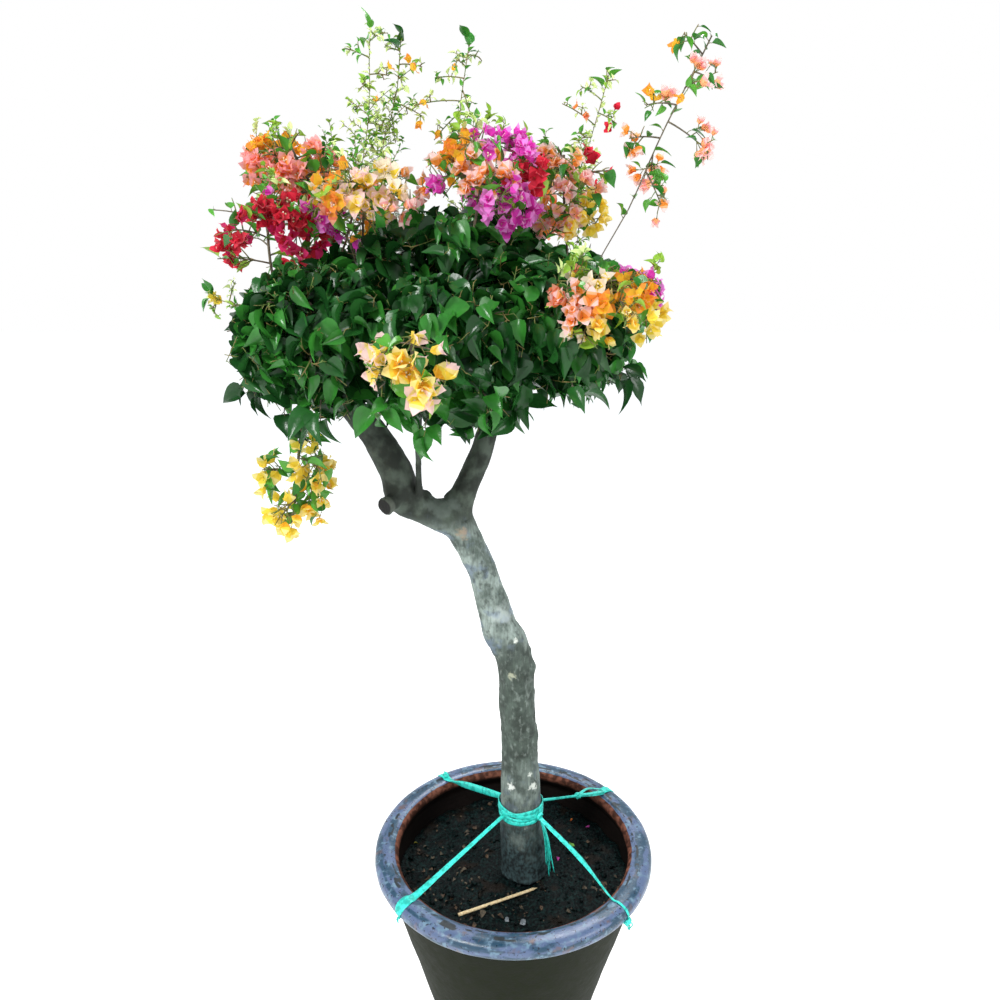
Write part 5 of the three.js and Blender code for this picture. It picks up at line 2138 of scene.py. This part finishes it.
@dataclass(frozen=True)
class GuyShape:
    """How one guy differs: its turn round the pot in degrees, its strands' widths along it, as
    shares of the film's, how far they fan out over the rim, how the middle sways, its knot's size
    and place, its tails' length, up to which share of it the film stands on edge, and whether a
    second knot with two loops sits on it."""

    turn: int
    widths: tuple[float, ...]
    fan: float = 1.0
    sway: tuple[float, float] = (0, 0)
    knot: float = 5.2
    knot_below: bool = True
    tail: float = 1.0
    stand: float = 0.0
    looped: bool = False


GUYS = {
    "far_left": GuyShape(126, (1.3, 1.9, 2.0, 1.8, 1.4, 1.3, 0.4), 0.9, (0, 0), 8.0, False, 0.4, 0.28),
    "near_left": GuyShape(220, (0.7, 0.8, 0.9, 1.0, 1.2, 1.6, 0.5), 1.4, knot=2.5, tail=0.3),
    "far_right": GuyShape(
        38, (0.7, 0.8, 0.8, 0.9, 1.2, 1.2, 0.5), 1.3, knot=3.0, tail=0.4, stand=0.28, looped=True
    ),
    "near_right": GuyShape(318, (0.8, 1.1, 1.5, 0.5, 0.3, 0.3, 0.3), 0.3, (6, 3), knot=9.0),
}


@dataclass
class Ties:
    """The plastic twine: a collar wound round the trunk, four guys from it over the rim, the knots
    and the loose ends."""

    trunk: Limb
    pot: Pot
    low: float = 514
    high: float = 547
    film: float = 6.8
    thickness: float = 1.3
    wraps: int = 9
    strands: int = 4
    loose_ends: int = 7
    knot_turn: float = 322
    knot_level: float = 527
    far_level: float = 520
    near_level: float = 528
    rim_turns: tuple[float, ...] = (112, 90, 62, 34, 6, -24)
    rim_fan: tuple[float, ...] = (2.0, 2.6, 3.2, 3.2, 2.4, 0.8)
    width_stops: tuple[float, ...] = (0, 0.07, 0.14, 0.21, 0.26, 0.5, 1)

    def strand(self, path: Array, width: Any, outward: Array | None, seed: int) -> Patch:
        """One strand of film: a flat crumpled section carried along a path, thinner at its ends.

        Args:
            path: the points of the path.
            width: its width, one number or one for each point.
            outward: the way that its flat side faces at each point, if any.
            seed: which crumple it has.

        Returns:
            The closed strand.
        """
        sides = 10
        count = len(path)
        angle = ring_turns(sides)
        widths = np.broadcast_to(width, (count,)) / 2
        grid = np.meshgrid(np.arange(count) * 0.35, angle, seed * 3.1, indexing="ij")
        crumple = noise(np.stack(grid, axis=-1)[:, :, 0], 1.0, seed)
        flat = widths[:, None] * np.cos(angle) * (1 + 0.12 * crumple)
        deep = self.thickness * np.sin(angle) * 0.8 + crumple * 0.45
        return swept(path, np.stack([flat, deep], axis=-1), outward)

    def beside_rim(self, turn: float, degrees: Array, off: float) -> Array:
        """Places beside the rolled rim.

        Args:
            turn: the turn round the pot, in radians.
            degrees: the angles on the rim's section.
            off: the distance off its surface.

        Returns:
            The places, one to a row.
        """
        angles = np.radians(degrees)
        r = self.pot.roll_radius + (self.pot.roll_width + off) * np.cos(angles)
        z = self.pot.roll_level + (self.pot.roll_rise + off) * np.sin(angles)
        return level_way(turn) * r[:, None] + UP * z[:, None]

    def centre(self, height: Any) -> Array:
        """The trunk's centre at a height."""
        points = self.trunk.points
        return read_off(height, points[:, 2], points)

    def radius(self, height: Any) -> Array:
        """The trunk's radius at a height."""
        points = self.trunk.points
        share = np.interp(height, points[:, 2], self.trunk.marks) / self.trunk.length
        return self.trunk.radius(share)

    def collar_patch(self, rng: Rng) -> Patch:
        """The wraps: strands wound round the trunk at slightly different slopes, one on another.

        Args:
            rng: seeded draws.

        Returns:
            The wraps as one patch.
        """
        wraps = []
        for k in range(self.wraps):
            t = np.linspace(0, 1, 72)
            angle = k * 1.9 + t * 2 * math.pi * 1.15
            base = lerp(self.low + 5, self.high - 5, (k + 0.5) / self.wraps)
            sway = rng.uniform(3, 12) * np.sin(angle + rng.uniform(0, 6))
            height = np.clip(base + sway + rng.uniform(-3, 3) * t, self.low + 4, self.high - 5)
            height -= 8 * np.maximum(np.sin(angle), 0)
            out = level_way(angle)
            reach = self.radius(height) + 1.0 + 0.25 * k
            path = self.centre(height) + out * reach[:, None]
            wraps.append(self.strand(path, rng.uniform(6, 10), out, 40 + k))
        return joined(wraps)

    def knot_patch(self, at: Array, way: Array, size: float, seed: int) -> Patch:
        """A knot: three short coils of film that cross round the way of the strand.

        Args:
            at: its middle.
            way: the way of the strand.
            size: its radius.
            seed: which knot it is.

        Returns:
            The coils as one patch.
        """
        rng = np.random.default_rng(seed)
        coils = []
        for _ in range(3):
            axis = unit(way + rng.normal(0, 0.5, 3))
            across, over = square_to(axis, 0.1)
            angle = np.linspace(0, 2 * math.pi * 1.2, 26)[:, None] + rng.uniform(0, 6)
            out = across * np.cos(angle) + over * np.sin(angle)
            rise = axis * (np.linspace(-0.5, 0.5, 26) * size)[:, None]
            path = at + out * size * rng.uniform(0.55, 0.85) + rise
            coils.append(self.strand(path, size * 0.75, out, seed))
        return joined(coils)

    def guy_patch(self, shape: GuyShape, rng: Rng) -> Patch:
        """One guy: taut strands from the collar to the rim and over it, as wide from place to place
        as in the photograph, with its knot and loose ends.

        Args:
            shape: how this guy differs.
            rng: seeded draws for the loose ends.

        Returns:
            The guy's strands.
        """
        turn = math.radians(shape.turn)
        out = level_way(turn)
        level = self.far_level if out[1] > 0 else self.near_level
        hub = self.centre(level) + out * (self.radius(level) + 3)
        over = self.beside_rim(turn, np.array(self.rim_turns), 1.6)
        side = np.cross(UP, out)
        parts = []
        for k in range(self.strands):
            drift = (k - (self.strands - 1) / 2) * side
            slack = hub * 0.45 + over[0] * 0.55 + drift + np.array([*shape.sway, -0.6 * k])
            fan = over + drift * np.array(self.rim_fan)[:, None] * shape.fan
            path = smooth_through(np.concatenate([[hub + drift * 1.2], [slack], fan]), 7)
            share = np.linspace(0, 1, len(path))
            lying = np.clip((share - shape.stand) / 0.1 + 1, 0, 1)[:, None]
            outward = unit(lerp(side, unit(np.cross(side, np.gradient(path, axis=0))), lying))
            width = self.film * np.interp(share, self.width_stops, shape.widths)
            parts.append(self.strand(path, width, outward, 60 + k))
        foot = over[-1] + np.array([0, 0, -3.0])
        knot = foot if shape.knot_below else over[1] + UP * 2
        parts.append(self.knot_patch(knot, -UP, shape.knot, 90 + shape.turn))
        if shape.looped:
            knot = lerp(hub, over[0], 0.62)
            parts.append(self.knot_patch(knot, out, 7.0, 12))
            for bend in (-9.0, 9.0):
                middle = lerp(knot, over[1], 0.5) + side * bend + UP * 5
                loop = np.stack([knot, middle, over[1] + side * bend * 0.4])
                parts.append(self.strand(smooth_through(loop, 9), 7.0, None, 9))
        for _ in range(self.strands):
            ends = foot + np.array([[0, 0, 0], [0, 0, -9], [0, 0, -17]]) * shape.tail + out * 1.5
            ends[1:] += rng.normal(0, 2.4, (2, 3)) + out * 1.5
            parts.append(self.strand(smooth_through(ends, 6), 2.0, None, 7))
        return joined(parts)

    def loose_patch(self, rng: Rng) -> Patch:
        """The loose ends that hang from the collar's knot to the soil.

        Args:
            rng: seeded draws.

        Returns:
            The ends and their knot as one patch.
        """
        out = level_way(math.radians(self.knot_turn))
        hub = self.centre(self.knot_level) + out * (self.radius(self.knot_level) + 4)
        parts = [self.knot_patch(hub, out, 8.0, 5)]
        for k in range(self.loose_ends):
            sway = rng.normal(0, 7, 3) * np.array([1, 1, 0])
            drop = 76 + 9 * k
            middle = hub + out * 16 + sway * 0.4 - UP * drop * 0.4
            line = np.array([hub, middle, hub + out * 27 + sway - UP * drop])
            line[:, 2] = np.maximum(line[:, 2], SOIL_TOP + 4)
            parts.append(self.strand(smooth_through(line, 10), rng.uniform(2.2, 4), None, 20 + k))
        return joined(parts)

    def build(self) -> None:
        """Makes the collar with its loose ends, and each guy."""
        rng = np.random.default_rng(17)
        film = SplitFilmTwine().material()
        collar = joined([self.collar_patch(rng), self.loose_patch(rng)])
        make_piece("twine_collar", collar, [film], ["tie_collar"])
        for name, shape in GUYS.items():
            make_piece(f"twine_{name}", self.guy_patch(shape, rng), [film], [f"tie_{name}"])


@dataclass
class Cane:
    """The pale split cane that lies on the soil."""

    start: tuple[float, float] = (-103, -126)
    end: tuple[float, float] = (45, -58)
    radius: float = 3.5
    joints: tuple[float, float] = (0.31, 0.74)

    def build(self) -> None:
        """A rod flattened a little, cut to a point at one end, with two faint joints."""
        t = np.linspace(0, 1, 60)[:, None]
        level = SOIL_TOP + self.radius + 2
        path = lerp(np.array([*self.start, level]), np.array([*self.end, level]), t)
        joints = sum(np.exp(-(((t[:, 0] - one) / 0.012) ** 2)) for one in self.joints)
        point = np.clip((1 - t[:, 0]) / 0.05, 0.25, 1)
        radii = self.radius * lerp(1.0, 0.85, t[:, 0]) * (1 + 0.08 * joints) * point
        section = round_section(radii, 12) * np.array([1.0, 0.8])
        pale = PlainSkin("split_cane", "#e8d3a8", "#cdb283", 4, 0.6).material()
        make_piece("cane", swept(path, section), [pale], ["soil_cane"])


# Stage


@dataclass(frozen=True)
class Studio:
    """The camera at the photograph's viewing angle, a pale floor and soft lights."""

    eye: tuple[float, float, float] = (-0.0261, -1.404, 1.603)
    tilt: float = 90 - 17.86
    lens: float = 30.96
    sensor: float = 36
    floor: float = 12
    aim: tuple[float, float, float] = (-0.08, 0.0, 1.1)

    def set_camera(self) -> None:
        """Sets the camera."""
        lens = bpy.data.cameras.new("camera")
        lens.lens = self.lens
        lens.sensor_width = self.sensor
        turn = (math.radians(self.tilt), 0, 0)
        bpy.context.scene.camera = placed("camera", lens, self.eye, turn)

    def set_floor(self) -> None:
        """Sets the pale floor under the pot."""
        corners = np.array([[-1, -1, 0], [1, -1, 0], [1, 1, 0], [-1, 1, 0]]) * self.floor / MM
        mesh = mesh_of("floor", Patch(corners, np.array([[0, 1, 2, 3]])))
        mesh.materials.append(StudioSheet().material())
        floor = placed("floor", mesh)

    def set_lights(self) -> None:
        """Sets a bright pale surround and three soft lamps, the strongest at the upper left."""
        sky = Shading("studio", "worlds", "Generated")
        up = sky.add("SeparateXYZ", {"Vector": sky.place}, "Z")
        colour = sky.layered("#ffffff", ("#9aa5ad", up, 0.25, 0.7))
        sky.add("OutputWorld", {"Surface": sky.add("Background", {"Color": colour, "Strength": 1.0})})
        bpy.context.scene.world = sky.made
        bpy.context.scene.view_settings.view_transform = "Standard"
        lamps = {
            "key": ((-1.5, -1.6, 3.2), 0.9, 75.0),
            "fill": ((2.2, -1.4, 2.6), 1.2, 34.0),
            "back": ((0.4, 1.8, 3.3), 1.0, 45.0),
        }
        for name, (place, side, power) in lamps.items():
            lamp = bpy.data.lights.new(name, "AREA")
            lamp.size = side
            lamp.energy = power
            away = np.subtract(place, self.aim)
            tilt = math.atan2(math.hypot(away[0], away[1]), away[2])
            placed(name, lamp, place, (tilt, 0, math.atan2(away[0], -away[1])))


def main() -> None:
    """Sets the stage and builds the pot, the wood, the crown and the ties."""
    logging.basicConfig(level=logging.INFO, format="%(message)s")
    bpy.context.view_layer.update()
    studio = Studio()
    studio.set_camera()
    studio.set_floor()
    studio.set_lights()
    pot = Pot()
    pot.build()
    Soil().build(pot)
    wood = Wood()
    wood.build()
    leaf_groups = {
        "leaves_left": ("leaves", ("foliage_left_front", "foliage_left_back")),
        "leaves_centre": ("leaves", ("foliage_centre_front", "foliage_centre_back", "foliage_top")),
        "leaves_right": ("leaves", ("foliage_right_front", "foliage_right_back")),
        "leaves_young": ("young_leaves", tuple(name for name in MASSES if "foliage" not in name)),
    }
    golden = ("blossom_gold", "blossom_side", "blossom_front", "spray_hanging", "sprig_left")
    bract_groups = {
        "bracts_crimson": ("crimson_bracts", ("blossom_crimson", "blossom_back_left")),
        "bracts_magenta": ("magenta_bracts", ("blossom_magenta", "blossom_back_right")),
        "bracts_pink": ("pink_bracts", ("blossom_pink",)),
        "bracts_peach": ("peach_bracts", ("blossom_peach", "shoot_right_tall", "shoot_right")),
        "bracts_gold": ("gold_bracts", (*golden, "shoot_top_left", "shoot_top_mid", "shoot_top_centre")),
    }
    CrownWork(Crown(wood.limbs), leaf_groups, bract_groups).build()
    Ties(wood.limbs["trunk"], pot).build()
    Cane().build()
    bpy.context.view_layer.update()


if __name__ == "__main__":
    main()
